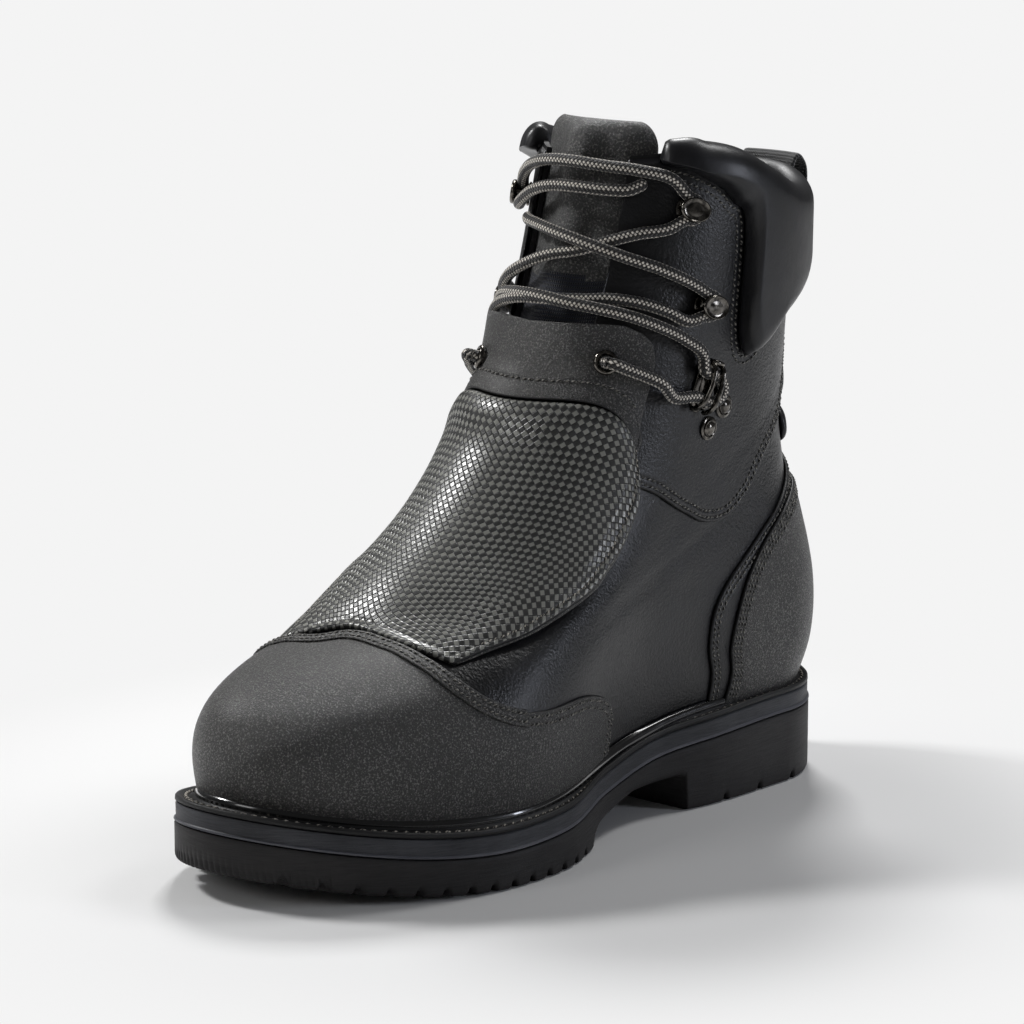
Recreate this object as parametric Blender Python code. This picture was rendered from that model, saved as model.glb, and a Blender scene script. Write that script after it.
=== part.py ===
"""Left work boot with a metatarsal guard, about 8 inches high.

The toe points to -Y, +X is the outer side of the left foot, and the boot stands on z = 0.
The upper is one surface, upper_point(angle, level): a stack of rings from the sole to the
collar, each tilted from a point on the front line to a point on the back line. Every overlay,
the tongue and the guard are taken from that surface, moved out or in along its normal.
"""
import math

import bmesh
import bpy
import numpy as np

# Sole sizes, in metres
SOLE_LENGTH = 0.308
BALL_WIDTH = 0.117
HEEL_ROUND = 0.042
TOE_ROUND = 0.092
HEEL_THICK = 0.036
FORE_THICK = 0.0225
MIDSOLE_THICK = 0.0075
TOE_SPRING = 0.011
SPRING_START = 0.215
HEEL_BREAST = 0.101
ARCH_END = 0.166
ARCH_HEIGHT = 0.0145
GROOVE_WIDTH = 0.0030
GROOVE_DEPTH = 0.0026
GROOVE_PITCH = 0.0093
HEEL_GROOVE_PITCH = 0.021
EDGE_BEVEL = 0.0012

# Upper sizes, in metres
UPPER_HEIGHT = 0.228
WALL = 0.0020
GAP = 0.0003
WELT_THICK = 0.0018
BEAD_HEIGHT = 0.0034
INSOLE_THICK = 0.0035
INSOLE_GAP = 0.0012
OVERLAY = 0.0015
COUNTER_THICK = 0.0013
PAD_THICK = 0.0085
PAD_WRAP = 0.010
ROLL_THICK = 0.0050
TONGUE_THICK = 0.0060
TONGUE_BULGE = 0.0040
TONGUE_HALF = 0.034
THROAT_HALF = 0.021
SHIELD_THICK = 0.0045
SHIELD_STAND = 0.0105
FLAP_THICK = 0.0028
FLAP_STAND = 0.0072
LOOP_WIDTH = 0.026
WEBBING = 0.0015
BACK_ROUND = 0.043
LOOP_GAP = 0.0052
LACE_RADIUS = 0.0020
HOOK_RADIUS = 0.0043
HOOK_HEIGHT = 0.0076
LACE_ON_HOOK = 0.0036
LACE_OFF_AXIS = 0.0042
LOCK_INSIDE_HALF = 0.0085
LOCK_INSIDE_HIGH = 0.0050
LOCK_THICK = 0.0013
LOCK_WIDTH = 0.0060
RIVET_RADIUS = 0.0030
RIVET_HEIGHT = 0.0016
EYELET_BORE = 0.0029
EYELET_WALL = 0.0005
EYELET_FLANGE = 0.0048

# How finely the surfaces are divided
AROUND = 36
LEVELS = 15
SOLE_ROWS = 28

# Plan of the sole: where it is along the length, half width and lean to the outer side
# (shares of SOLE_LENGTH, BALL_WIDTH and BALL_WIDTH)
OUTLINE = (
    (0.00, 0.375, 0.000),
    (0.16, 0.385, 0.000),
    (0.28, 0.378, 0.005),
    (0.39, 0.328, 0.015),
    (0.49, 0.345, 0.040),
    (0.62, 0.465, 0.052),
    (0.73, 0.503, 0.022),
    (0.84, 0.505, -0.022),
    (0.93, 0.503, -0.075),
    (1.00, 0.500, -0.115),
)

# Rings of the upper, from the sole to above the collar. Columns:
# front along, front up, back along, back up, half widths at heel, waist and ball,
# reach of the back and front rounding, lean at the ball and at the tip.
# Along and reach are shares of SOLE_LENGTH, up is a share of UPPER_HEIGHT above the sole,
# and the widths and leans are shares of BALL_WIDTH.
RINGS = (
    (0.957, 0.000, 0.031, 0.000, 0.328, 0.275, 0.440, 0.120, 0.272, 0.045, -0.110),
    (0.961, 0.024, 0.025, 0.024, 0.336, 0.285, 0.450, 0.122, 0.272, 0.045, -0.110),
    (0.966, 0.072, 0.010, 0.075, 0.350, 0.305, 0.458, 0.125, 0.275, 0.042, -0.108),
    (0.961, 0.118, 0.002, 0.130, 0.352, 0.322, 0.450, 0.128, 0.278, 0.038, -0.106),
    (0.942, 0.162, 0.002, 0.190, 0.348, 0.332, 0.432, 0.130, 0.290, 0.033, -0.102),
    (0.905, 0.203, 0.010, 0.248, 0.340, 0.336, 0.410, 0.130, 0.310, 0.027, -0.096),
    (0.853, 0.238, 0.022, 0.306, 0.332, 0.335, 0.388, 0.130, 0.340, 0.020, -0.086),
    (0.790, 0.268, 0.033, 0.364, 0.325, 0.331, 0.370, 0.135, 0.365, 0.013, -0.072),
    (0.722, 0.303, 0.040, 0.422, 0.320, 0.326, 0.358, 0.140, 0.370, 0.008, -0.058),
    (0.655, 0.350, 0.044, 0.480, 0.318, 0.324, 0.350, 0.150, 0.355, 0.004, -0.044),
    (0.594, 0.412, 0.045, 0.540, 0.320, 0.326, 0.346, 0.158, 0.325, 0.000, -0.032),
    (0.542, 0.486, 0.044, 0.600, 0.327, 0.331, 0.344, 0.164, 0.285, 0.000, -0.022),
    (0.500, 0.567, 0.042, 0.662, 0.337, 0.338, 0.346, 0.168, 0.245, 0.000, -0.014),
    (0.466, 0.654, 0.041, 0.724, 0.347, 0.348, 0.352, 0.171, 0.212, 0.000, -0.008),
    (0.438, 0.748, 0.041, 0.786, 0.356, 0.358, 0.360, 0.173, 0.192, 0.000, -0.004),
    (0.412, 0.850, 0.042, 0.850, 0.362, 0.366, 0.368, 0.174, 0.180, 0.000, 0.000),
    (0.390, 0.950, 0.044, 0.910, 0.366, 0.370, 0.372, 0.172, 0.172, 0.000, 0.000),
    (0.374, 1.040, 0.048, 0.970, 0.366, 0.370, 0.372, 0.165, 0.165, 0.000, 0.000),
)
BEAD_LEVEL = 1 / (len(RINGS) - 1)

# Where the back rolls end on the outer and on the inner side, in degrees from the front
ROLL_ENDS = (154, 217)

# Level of the wall's top: columns are the angle from the front in degrees, and the level
COLLAR_LINE = (
    (0, 0.955), (35, 0.962), (55, 0.968), (75, 0.962), (95, 0.938), (115, 0.912), (135, 0.905), (160, 0.918),
    (180, 0.922),
)

# Level of the collar pad's lower edge, against the angle from the front in degrees
PAD_EDGE = (
    (40, 0.955), (60, 0.942), (78, 0.912), (88, 0.872), (94, 0.765), (99, 0.722), (115, 0.742), (135, 0.765),
    (158, 0.792), (180, 0.800),
)

# Outlines of the overlays in side view: along the sole and up from the floor,
# as shares of SOLE_LENGTH and UPPER_HEIGHT. "outer" and "inner" are the two sides of the foot.
# The toe cap's ones are slanted: they lie where the cut crosses the middle of the foot.
TOE_CAP_SLANT = 0.19
TOE_CAP_OUTER = (
    (1.20, 0.00), (0.494, 0.00), (0.494, 0.19), (0.500, 0.222), (0.522, 0.248), (0.565, 0.262), (0.668, 0.267),
    (0.720, 0.274), (0.750, 0.296), (0.767, 0.326), (0.773, 0.350), (0.773, 0.60), (1.20, 0.60),
)
TOE_CAP_INNER = (
    (1.20, 0.00), (0.435, 0.00), (0.448, 0.149), (0.487, 0.197), (0.513, 0.232), (0.558, 0.272), (0.600, 0.291),
    (0.687, 0.303), (0.740, 0.314), (0.765, 0.330), (0.773, 0.350), (0.773, 0.60), (1.20, 0.60),
)
BAND_OUTER = (
    (-0.10, 0.00), (0.266, 0.00), (0.270, 0.193), (0.280, 0.276), (0.272, 0.325), (0.198, 0.430), (0.098, 0.522),
    (0.04, 0.570), (-0.10, 0.590),
)
BAND_INNER = (
    (-0.10, 0.00), (0.200, 0.00), (0.240, 0.175), (0.292, 0.219), (0.345, 0.280), (0.356, 0.308), (0.344, 0.342),
    (0.305, 0.386), (0.240, 0.447), (0.140, 0.518), (0.075, 0.557), (0.04, 0.570), (-0.10, 0.590),
)
COUNTER_OUTER = (
    (-0.10, 0.00), (0.242, 0.00), (0.246, 0.193), (0.244, 0.268), (0.232, 0.328), (0.204, 0.386), (0.110, 0.495),
    (0.050, 0.522), (-0.10, 0.540),
)
COUNTER_INNER = (
    (-0.10, 0.00), (0.160, 0.00), (0.195, 0.180), (0.284, 0.272), (0.296, 0.316), (0.286, 0.358), (0.230, 0.408),
    (0.127, 0.478), (0.062, 0.510), (0.030, 0.524), (-0.10, 0.540),
)
PANEL_OUTER = (
    (-0.10, 1.60), (-0.10, 0.765), (0.078, 0.765), (0.088, 0.705), (0.104, 0.660), (0.168, 0.580), (0.208, 0.520), (0.245, 0.490), (0.290, 0.490),
    (0.330, 0.515), (0.385, 0.560), (0.440, 0.590), (0.520, 0.620), (0.520, 1.60),
)
PANEL_INNER = (
    (-0.10, 1.60), (-0.10, 0.765), (0.045, 0.765), (0.065, 0.764), (0.094, 0.746), (0.153, 0.689), (0.247, 0.601), (0.299, 0.544), (0.351, 0.505),
    (0.396, 0.505), (0.450, 0.535), (0.500, 0.580), (0.520, 0.620), (0.520, 1.60),
)

# Guard shield: share of its height, half angle in degrees and stand-off share
SHIELD_EDGE = (
    (0.00, 48.5, 0.17), (0.04, 54.5, 0.30), (0.07, 61.0, 0.42), (0.12, 66.0, 0.60), (0.20, 71.0, 0.82),
    (0.40, 73.5, 1.00), (0.58, 73.0, 1.00), (0.72, 71.5, 1.00), (0.85, 68.0, 1.00), (1.00, 61.5, 0.98),
)
SHIELD_LOW = 0.441
SHIELD_LOW_DROP = 0.117
SHIELD_HIGH = 0.724
SHIELD_HIGH_DROP = 0.085
INNER_SIDE_SHARE = 0.76

# Guard flap above the shield: share of its height, half angle in degrees
FLAP_EDGE = (
    (0.00, 60.5), (0.33, 58.0), (0.58, 57.0), (0.73, 55.5), (0.86, 51.0), (0.93, 45.0), (0.98, 35.0), (1.00, 22.0),
)
FLAP_TOP = 0.804
SEAM_GAP = 0.0018

# Lacing hooks: name, level, angle from the front in degrees
HOOKS = (
    ("outer_1", 0.907, 57), ("outer_2", 0.803, 73), ("inner_1", 0.907, -47), ("inner_2", 0.800, -54),
)
LOCKS = (("outer", 0.697, 83), ("inner", 0.690, -68))
# Rivets: degrees further back and levels lower than their locking hook
RIVETS = {"outer": ((15.5, 0.052), (11.0, 0.074)), "inner": ((2.0, 0.044), (11.0, 0.074))}
GUARD_EYELETS = (("outer", 0.762, 37), ("inner", 0.752, -29))

# Lace over the tongue: angle in degrees, level, stand-off in millimetres.
# The first lace runs from the guard's outer eyelet to its end under the top bar,
# the second from the inner locking hook to its end beside the top inner hook.
EYELET_TO_LOCK = ((45, 0.752, 11.6), (52, 0.742, 10.4), (60, 0.727, 10.0), (68, 0.703, 7.0))
LOCK_TO_INNER_2 = (
    (76, 0.743, 6.2), (66, 0.771, 6.2), (53, 0.794, 6.6), (40, 0.809, 7.6), (28, 0.817, 8.2), (16, 0.822, 8.4),
    (4, 0.826, 8.2), (-12, 0.826, 7.4), (-28, 0.819, 6.8), (-42, 0.800, 6.2),
)
INNER_2_TO_OUTER_1 = (
    (-44, 0.817, 5.9), (-30, 0.836, 5.6), (-14, 0.853, 5.0), (0, 0.864, 5.0), (14, 0.870, 5.0), (26, 0.878, 5.0),
    (38, 0.885, 5.2), (50, 0.889, 5.6),
)
OUTER_1_TO_INNER_1 = (
    (48, 0.937, 6.4), (34, 0.945, 6.2), (18, 0.948, 5.4), (2, 0.950, 5.4), (-14, 0.948, 5.4), (-28, 0.940, 5.6),
    (-40, 0.927, 5.8),
)
INNER_1_TO_END = ((-34, 0.904, 5.7), (-20, 0.918, 5.2), (-6, 0.925, 5.0), (8, 0.926, 5.0), (22, 0.925, 5.0))
LOCK_TO_OUTER_2 = (
    (-58, 0.735, 7.0), (-47, 0.768, 7.4), (-38, 0.793, 7.6), (-26, 0.811, 7.6), (-10, 0.822, 7.4), (6, 0.825, 6.8),
    (20, 0.826, 5.4), (32, 0.826, 5.0), (44, 0.820, 5.2), (56, 0.807, 5.4), (66, 0.791, 5.6),
)
OUTER_2_TO_END = (
    (66, 0.828, 5.7), (52, 0.848, 6.0), (34, 0.864, 7.2), (20, 0.874, 8.0), (6, 0.882, 7.4), (-10, 0.888, 5.8),
    (-26, 0.890, 5.4),
)


def smooth(at, xs, ys):
    """Cubic Hermite curve through the rows, with slopes from the neighbours, held level past the ends."""
    xs = np.asarray(xs, float)
    ys = np.asarray(ys, float)
    slope = np.gradient(ys, xs)
    at = np.clip(at, xs[0], xs[-1])
    i = np.clip(np.searchsorted(xs, at, side="right") - 1, 0, len(xs) - 2)
    step = xs[i + 1] - xs[i]
    u = (at - xs[i]) / step
    left = (2 * u ** 3 - 3 * u ** 2 + 1) * ys[i] + (u ** 3 - 2 * u ** 2 + u) * step * slope[i]
    right = (3 * u ** 2 - 2 * u ** 3) * ys[i + 1] + (u ** 3 - u ** 2) * step * slope[i + 1]
    return left + right


def column(table, k):
    """One column of a table."""
    return [row[k] for row in table]


def ease(u):
    """0 to 1 with level ends."""
    u = np.clip(u, 0, 1)
    return u * u * (3 - 2 * u)


def end_round(distance, reach):
    """Quarter ellipse: 0 at an end, 1 from 'reach' on."""
    gap = np.clip(1 - distance / reach, 0, 1)
    return np.sqrt(np.clip(1 - gap ** 2, 0, 1))


def raw_outline(along, side, inset=0.0):
    """Distance of the sole's edge from the foot's axis, at 'along' from the heel."""
    share = along / SOLE_LENGTH
    half = smooth(share, column(OUTLINE, 0), column(OUTLINE, 1)) * BALL_WIDTH
    lean = smooth(share, column(OUTLINE, 0), column(OUTLINE, 2)) * BALL_WIDTH
    back = end_round(along - inset, HEEL_ROUND - inset)
    front = end_round(SOLE_LENGTH - along - inset, TOE_ROUND - inset)
    return lean + side * (half - inset) * back * front


def middle_of_sole():
    """x of the middle between the sole's widest points, which is put at x = 0."""
    along = np.linspace(0, SOLE_LENGTH, 400)
    return (raw_outline(along, 1).max() + raw_outline(along, -1).min()) / 2


CENTRE = middle_of_sole()


def ground_rise(along):
    """Height of the sole's underside: nil as far as SPRING_START, then a parabola to the toe."""
    run = np.clip((along - SPRING_START) / (SOLE_LENGTH - SPRING_START), 0, None)
    return TOE_SPRING * run ** 2


def sole_top(along):
    """Height of the midsole's top: level on the heel, a ramp at the shank, level to the toe, plus the spring."""
    drop = HEEL_THICK - FORE_THICK
    shares = (0.0, 0.20, 0.33, 0.49, 0.65, 1.0)
    falls = (0.0, 0.0, 0.19, 0.74, 1.0, 1.0)
    return HEEL_THICK - drop * smooth(along / SOLE_LENGTH, shares, falls) + ground_rise(along)


def place(along, across, up):
    """World points from along (heel to toe), across (to the outer side) and up."""
    along, across, up = np.broadcast_arrays(along, across, up)
    return np.stack([across - CENTRE, SOLE_LENGTH / 2 - along, up], -1)


def ring_values(level):
    """The eleven values of the ring at a level from 0 to 1, in metres."""
    knots = np.linspace(0, 1, len(RINGS))
    units = [SOLE_LENGTH, UPPER_HEIGHT, SOLE_LENGTH, UPPER_HEIGHT] + [BALL_WIDTH] * 3
    units += [SOLE_LENGTH] * 2 + [BALL_WIDTH] * 2
    return [smooth(level, knots, column(RINGS, k)) * unit for k, unit in enumerate(units)]


def upper_point(angle, level):
    """Outer face of the upper. Angle 0 is the front line, pi the back line, positive to the outer side."""
    angle, level = np.broadcast_arrays(np.asarray(angle, float), np.asarray(level, float))
    f_al, f_up, b_al, b_up, heel, waist, ball, b_round, f_round, lean_mid, lean_tip = ring_values(level)
    s = (1 + np.cos(angle)) / 2
    length = f_al - b_al
    half = heel + (waist - heel) * ease((s - 0.15) / 0.27) + (ball - waist) * ease((s - 0.42) / 0.30)
    rounds = end_round(s * length, b_round) * end_round((1 - s) * length, f_round)
    lean = lean_mid * np.exp(-((s - 0.60) / 0.20) ** 2) + lean_tip * np.clip((s - 0.55) / 0.45, 0, 1) ** 1.5
    along = b_al + s * length
    low = sole_top(b_al) + s * (sole_top(f_al) - sole_top(b_al))
    fade = np.clip(1 - level / 0.45, 0, 1) ** 1.5
    up = GAP + b_up + s * (f_up - b_up) + low + (sole_top(along) - low) * fade
    return place(along, lean + np.sign(np.sin(angle)) * half * rounds, up)


def skin(angle, level, stand=0.0):
    """The upper's face moved out by 'stand' along its normal."""
    angle, level, stand = np.broadcast_arrays(
        np.asarray(angle, float), np.asarray(level, float), np.asarray(stand, float))
    tiny = 1e-3
    round_step = upper_point(angle + tiny, level) - upper_point(angle - tiny, level)
    high = np.clip(level + tiny, 0, 1)
    low = np.clip(level - tiny, 0, 1)
    rise_step = upper_point(angle, high) - upper_point(angle, low)
    normal = np.cross(round_step, rise_step)
    normal /= np.linalg.norm(normal, axis=-1, keepdims=True)
    return upper_point(angle, level) + normal * stand[..., None]


def collar_level(angle):
    """Level of the wall's top edge at an angle."""
    turn = np.degrees(np.abs((angle + np.pi) % (2 * np.pi) - np.pi))
    return smooth(turn, column(COLLAR_LINE, 0), column(COLLAR_LINE, 1))


def wall_grid():
    """Angles and levels of the wall's rows, from the sole to the collar line."""
    angle = np.linspace(0, 2 * np.pi, AROUND, endpoint=False)
    share = np.linspace(0, 1, LEVELS - 1)[:, None]
    level = BEAD_LEVEL + share * (collar_level(angle) - BEAD_LEVEL)
    level = np.vstack([np.zeros(AROUND), level])
    return np.broadcast_to(angle, level.shape), level


def angle_at(level, across):
    """Angle on the ring at 'level' where it is 'across' from its front line."""
    turns = np.linspace(0, 1.45, 120)
    found = []
    for one_level, one_across in zip(np.ravel(level), np.ravel(across)):
        line = upper_point(turns, one_level)[:, 0]
        found.append(np.interp(one_across, line - line[0], turns))
    return np.reshape(found, np.shape(level))


parts = None
cutters = None


def clear_scene():
    """Empty the scene and make one collection for the pieces and one for the cutters."""
    global parts, cutters
    for old in list(bpy.data.objects):
        bpy.data.objects.remove(old)
    parts = bpy.data.collections.new("metatarsal_guard_boot")
    cutters = bpy.data.collections.new("cutters")
    bpy.context.scene.collection.children.link(parts)
    bpy.context.scene.collection.children.link(cutters)


def finish(name, colour, roughness, metallic=0.0):
    """A plain surface finish; colour is linear red, green and blue."""
    material = bpy.data.materials.new(name)
    material.use_nodes = True
    shader = material.node_tree.nodes["Principled BSDF"]
    shader.inputs["Base Color"].default_value = (*colour, 1)
    shader.inputs["Roughness"].default_value = roughness
    shader.inputs["Metallic"].default_value = metallic
    return material


def add_object(name, points, faces, material=None, smooth_shaded=True):
    """A mesh object whose faces are turned outward; with no material it is a cutter."""
    mesh = bpy.data.meshes.new(name)
    mesh.from_pydata([tuple(p) for p in np.reshape(points, (-1, 3))], [], faces)
    turned = bmesh.new()
    turned.from_mesh(mesh)
    bmesh.ops.recalc_face_normals(turned, faces=turned.faces)
    turned.to_mesh(mesh)
    turned.free()
    piece = bpy.data.objects.new(name, mesh)
    if material is None:
        cutters.objects.link(piece)
        piece.hide_render = True
        piece.display_type = "WIRE"
        return piece
    parts.objects.link(piece)
    mesh.materials.append(material)
    if smooth_shaded:
        mesh.shade_smooth()
        mesh.set_sharp_from_angle(angle=math.radians(40))
    return piece


def slab_faces(rows, columns, wrap):
    """Faces of a sheet with thickness: first the outer grid's points, then the inner grid's.

    Both sides are cut along the same diagonals, so nested sheets keep an even gap.
    """
    span = columns if wrap else columns - 1
    under = rows * columns
    faces = []
    for i in range(rows - 1):
        for j in range(span):
            k = (j + 1) % columns
            a, b, c, d = i * columns + j, i * columns + k, (i + 1) * columns + k, (i + 1) * columns + j
            faces += [(a, b, c), (a, c, d)]
            faces += [(under + c, under + b, under + a), (under + d, under + c, under + a)]
    for i in (0, rows - 1):
        for j in range(span):
            a, b = i * columns + j, i * columns + (j + 1) % columns
            faces.append((a, b, under + b, under + a))
    if not wrap:
        for j in (0, columns - 1):
            for i in range(rows - 1):
                a, b = i * columns + j, (i + 1) * columns + j
                faces.append((a, b, under + b, under + a))
    return faces


def slab(name, outer, inner, material, wrap=False):
    """A sheet between two grids of points."""
    rows, columns = outer.shape[:2]
    points = np.concatenate([outer.reshape(-1, 3), inner.reshape(-1, 3)])
    return add_object(name, points, slab_faces(rows, columns, wrap), material)


def sleeve(name, loops, material, closed=False):
    """A solid carried through closed loops of points, capped at both ends or joined end to end."""
    rows, columns = loops.shape[:2]
    faces = []
    for i in range(rows if closed else rows - 1):
        for j in range(columns):
            k = (j + 1) % columns
            low = i * columns
            high = ((i + 1) % rows) * columns
            faces.append((low + j, low + k, high + k, high + j))
    if not closed:
        faces.append(tuple(range(columns)))
        faces.append(tuple((rows - 1) * columns + j for j in range(columns)))
    return add_object(name, loops, faces, material)


def prism(name, outline, side_from, side_to, slant=0.0):
    """A cutter: an outline in side view, carried across the foot and moved back by 'slant' as it goes out."""
    ring = np.array(outline) * (SOLE_LENGTH, UPPER_HEIGHT)
    loops = []
    for across in (side_from, side_to):
        back = SOLE_LENGTH / 2 - ring[:, 0] + slant * across
        loops.append(np.stack([np.full(len(ring), across), back, ring[:, 1]], -1))
    return sleeve(name, np.array(loops), None)


def use_boolean(piece, cutter, operation):
    """Cut, join or keep what is common, with the exact solver."""
    step = piece.modifiers.new(operation.lower(), "BOOLEAN")
    step.operation = operation
    step.solver = "EXACT"
    step.object = cutter


def join_cutters(name, pieces):
    """One cutter made of several closed bodies that do not touch."""
    points = []
    faces = []
    for piece in pieces:
        start = len(points)
        points += [tuple(v.co) for v in piece.data.vertices]
        faces += [tuple(start + i for i in face.vertices) for face in piece.data.polygons]
        bpy.data.objects.remove(piece)
    return add_object(name, points, faces)


def box(name, along, up, size):
    """A cutter box centred at 'along' and 'up', right across the foot."""
    half_long, half_up = size[0] / 2, size[1] / 2
    corners = np.array([(-half_long, -half_up), (half_long, -half_up), (half_long, half_up), (-half_long, half_up)])
    loops = []
    for across in (-BALL_WIDTH, BALL_WIDTH):
        loops.append(np.stack([np.full(4, across), SOLE_LENGTH / 2 - along - corners[:, 0], up + corners[:, 1]], -1))
    return sleeve(name, np.array(loops), None)


def sole_layer(name, low, high, material):
    """A layer of the sole between two height functions, with bevelled edges."""
    turn = np.linspace(0.05, np.pi - 0.05, SOLE_ROWS)
    along = SOLE_LENGTH * (1 - np.cos(turn)) / 2
    bottom, top = low(along), high(along)
    outer, inner = raw_outline(along, 1), raw_outline(along, -1)
    bevel = EDGE_BEVEL * end_round(np.minimum(along, SOLE_LENGTH - along), HEEL_ROUND)
    loops = [
        place(along, inner + bevel, bottom), place(along, inner, bottom + EDGE_BEVEL),
        place(along, inner, top - EDGE_BEVEL), place(along, inner + bevel, top),
        place(along, outer - bevel, top), place(along, outer, top - EDGE_BEVEL),
        place(along, outer, bottom + EDGE_BEVEL), place(along, outer - bevel, bottom),
    ]
    return sleeve(name, np.stack(loops, 1), material)


def make_outsole(material):
    """Outsole and heel block in one, with the arch, the lug grooves and the toe spring."""
    outsole = sole_layer("outsole", ground_rise, lambda along: sole_top(along) - MIDSOLE_THICK - GAP, material)
    below = -0.004
    arch = (
        (HEEL_BREAST, below), (HEEL_BREAST, ARCH_HEIGHT * 0.9), (HEEL_BREAST + 0.003, ARCH_HEIGHT),
        (HEEL_BREAST + 0.030, ARCH_HEIGHT * 0.93), (ARCH_END - 0.008, ARCH_HEIGHT * 0.55),
        (ARCH_END - 0.002, ARCH_HEIGHT * 0.30), (ARCH_END, below),
    )
    outline = [(along / SOLE_LENGTH, up / UPPER_HEIGHT) for along, up in arch]
    arch_cutter = prism("arch_cutter", outline, -BALL_WIDTH, BALL_WIDTH)
    grooves = []
    along = ARCH_END + GROOVE_PITCH
    while along < SOLE_LENGTH - GROOVE_PITCH:
        grooves.append(box("groove", along, float(ground_rise(along)), (GROOVE_WIDTH, 2 * GROOVE_DEPTH)))
        along += GROOVE_PITCH
    along = HEEL_BREAST - HEEL_GROOVE_PITCH
    while along > HEEL_GROOVE_PITCH / 2:
        grooves.append(box("groove", along, 0.0, (GROOVE_WIDTH, 2 * GROOVE_DEPTH)))
        along -= HEEL_GROOVE_PITCH
    use_boolean(outsole, arch_cutter, "DIFFERENCE")
    use_boolean(outsole, join_cutters("groove_cutter", grooves), "DIFFERENCE")
    return outsole


def make_welt(material):
    """Stitched strip on the midsole, with a bead that hugs the foot of the upper."""
    angle = np.linspace(0, 2 * np.pi, AROUND, endpoint=False)
    share = (1 + np.cos(angle)) / 2
    foot = skin(angle, 0.0, GAP)
    bead = skin(angle, BEAD_LEVEL * 0.80, GAP)
    side = np.sign(np.sin(angle))
    edge = place(share * SOLE_LENGTH, raw_outline(share * SOLE_LENGTH, side), foot[:, 2])

    def between(part, rise):
        point = foot + part * (edge - foot)
        point[:, 2] = sole_top(SOLE_LENGTH / 2 - point[:, 1]) + GAP + rise
        return point

    loops = [
        between(0.0, 0.0), bead, between(0.30, BEAD_HEIGHT), between(0.46, BEAD_HEIGHT * 0.75),
        between(0.52, WELT_THICK), between(0.86, WELT_THICK), between(0.86, 0.0),
    ]
    return sleeve("welt", np.stack(loops, 1), material, closed=True)


def make_insole(material):
    """Flat insole inside the upper's wall, on the midsole."""
    turn = np.linspace(np.pi - 0.12, 0.12, SOLE_ROWS)
    outer = skin(turn, 0.0, -WALL - INSOLE_GAP)
    inner = skin(-turn, 0.0, -WALL - INSOLE_GAP)
    loops = []
    for line, rise in ((inner, 0.0), (inner, INSOLE_THICK), (outer, INSOLE_THICK), (outer, 0.0)):
        point = line.copy()
        point[:, 2] = sole_top(SOLE_LENGTH / 2 - line[:, 1]) + GAP + rise
        loops.append(point)
    return sleeve("insole", np.stack(loops, 1), material)


def make_upper(material):
    """The leather wall: open at the collar, down the throat and underneath."""
    angle, level = wall_grid()
    upper = slab("upper", skin(angle, level), skin(angle, level, -WALL), material, wrap=True)
    use_boolean(upper, throat_cutter("throat_cutter", 0.0), "DIFFERENCE")
    return upper


def throat_cutter(name, widen):
    """A wedge along the front line that opens the throat; it stays clear of the back wall."""
    level = np.linspace(0.50, 1.0, 16)
    half = (THROAT_HALF + widen) * (0.62 + 0.38 * ease((level - 0.50) / 0.25))
    half = half * end_round(level - 0.496, 0.05)
    front = upper_point(0.0, level)
    back = upper_point(np.pi, level)
    out = (front - back) / np.linalg.norm(front - back, axis=-1, keepdims=True)
    across = np.stack([half, 0 * half, 0 * half], -1)
    near = front - out * 0.030
    far = front + out * 0.030
    loops = np.stack([near - across, near + across, far + across, far - across], 1)
    lift = loops[-1] + np.array([0, 0, 0.03])
    return sleeve(name, np.concatenate([loops, lift[None]]), None)


def make_overlay(name, outlines, inside, outside, material, slant=0.0):
    """A leather overlay: the shell between two stand-offs of the wall, kept inside an outline in side view.

    With both outlines the overlay runs round the foot; with one it ends at the middle seam.
    """
    angle, level = wall_grid()
    angle, level = angle[1:], level[1:].copy()
    level[-1] -= 0.004
    shell = slab(name, skin(angle, level, outside), skin(angle, level, inside), material, wrap=True)
    outer, inner = outlines
    seam = 0.0 if outer and inner else GAP / 2
    halves = []
    if outer:
        halves.append(prism(name + "_cutter", outer, seam, BALL_WIDTH, slant))
    if inner:
        halves.append(prism(name + "_cutter", inner, -BALL_WIDTH, -seam, slant))
    if len(halves) == 2:
        join_now(halves[0], halves[1])
    use_boolean(shell, halves[0], "INTERSECT")
    return shell


def join_now(piece, other):
    """Join another body to this one at once and drop the other object."""
    use_boolean(piece, other, "UNION")
    graph = bpy.context.evaluated_depsgraph_get()
    mesh = bpy.data.meshes.new_from_object(piece.evaluated_get(graph))
    piece.modifiers.clear()
    old = piece.data
    piece.data = mesh
    bpy.data.meshes.remove(old)
    bpy.data.objects.remove(other)


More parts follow.
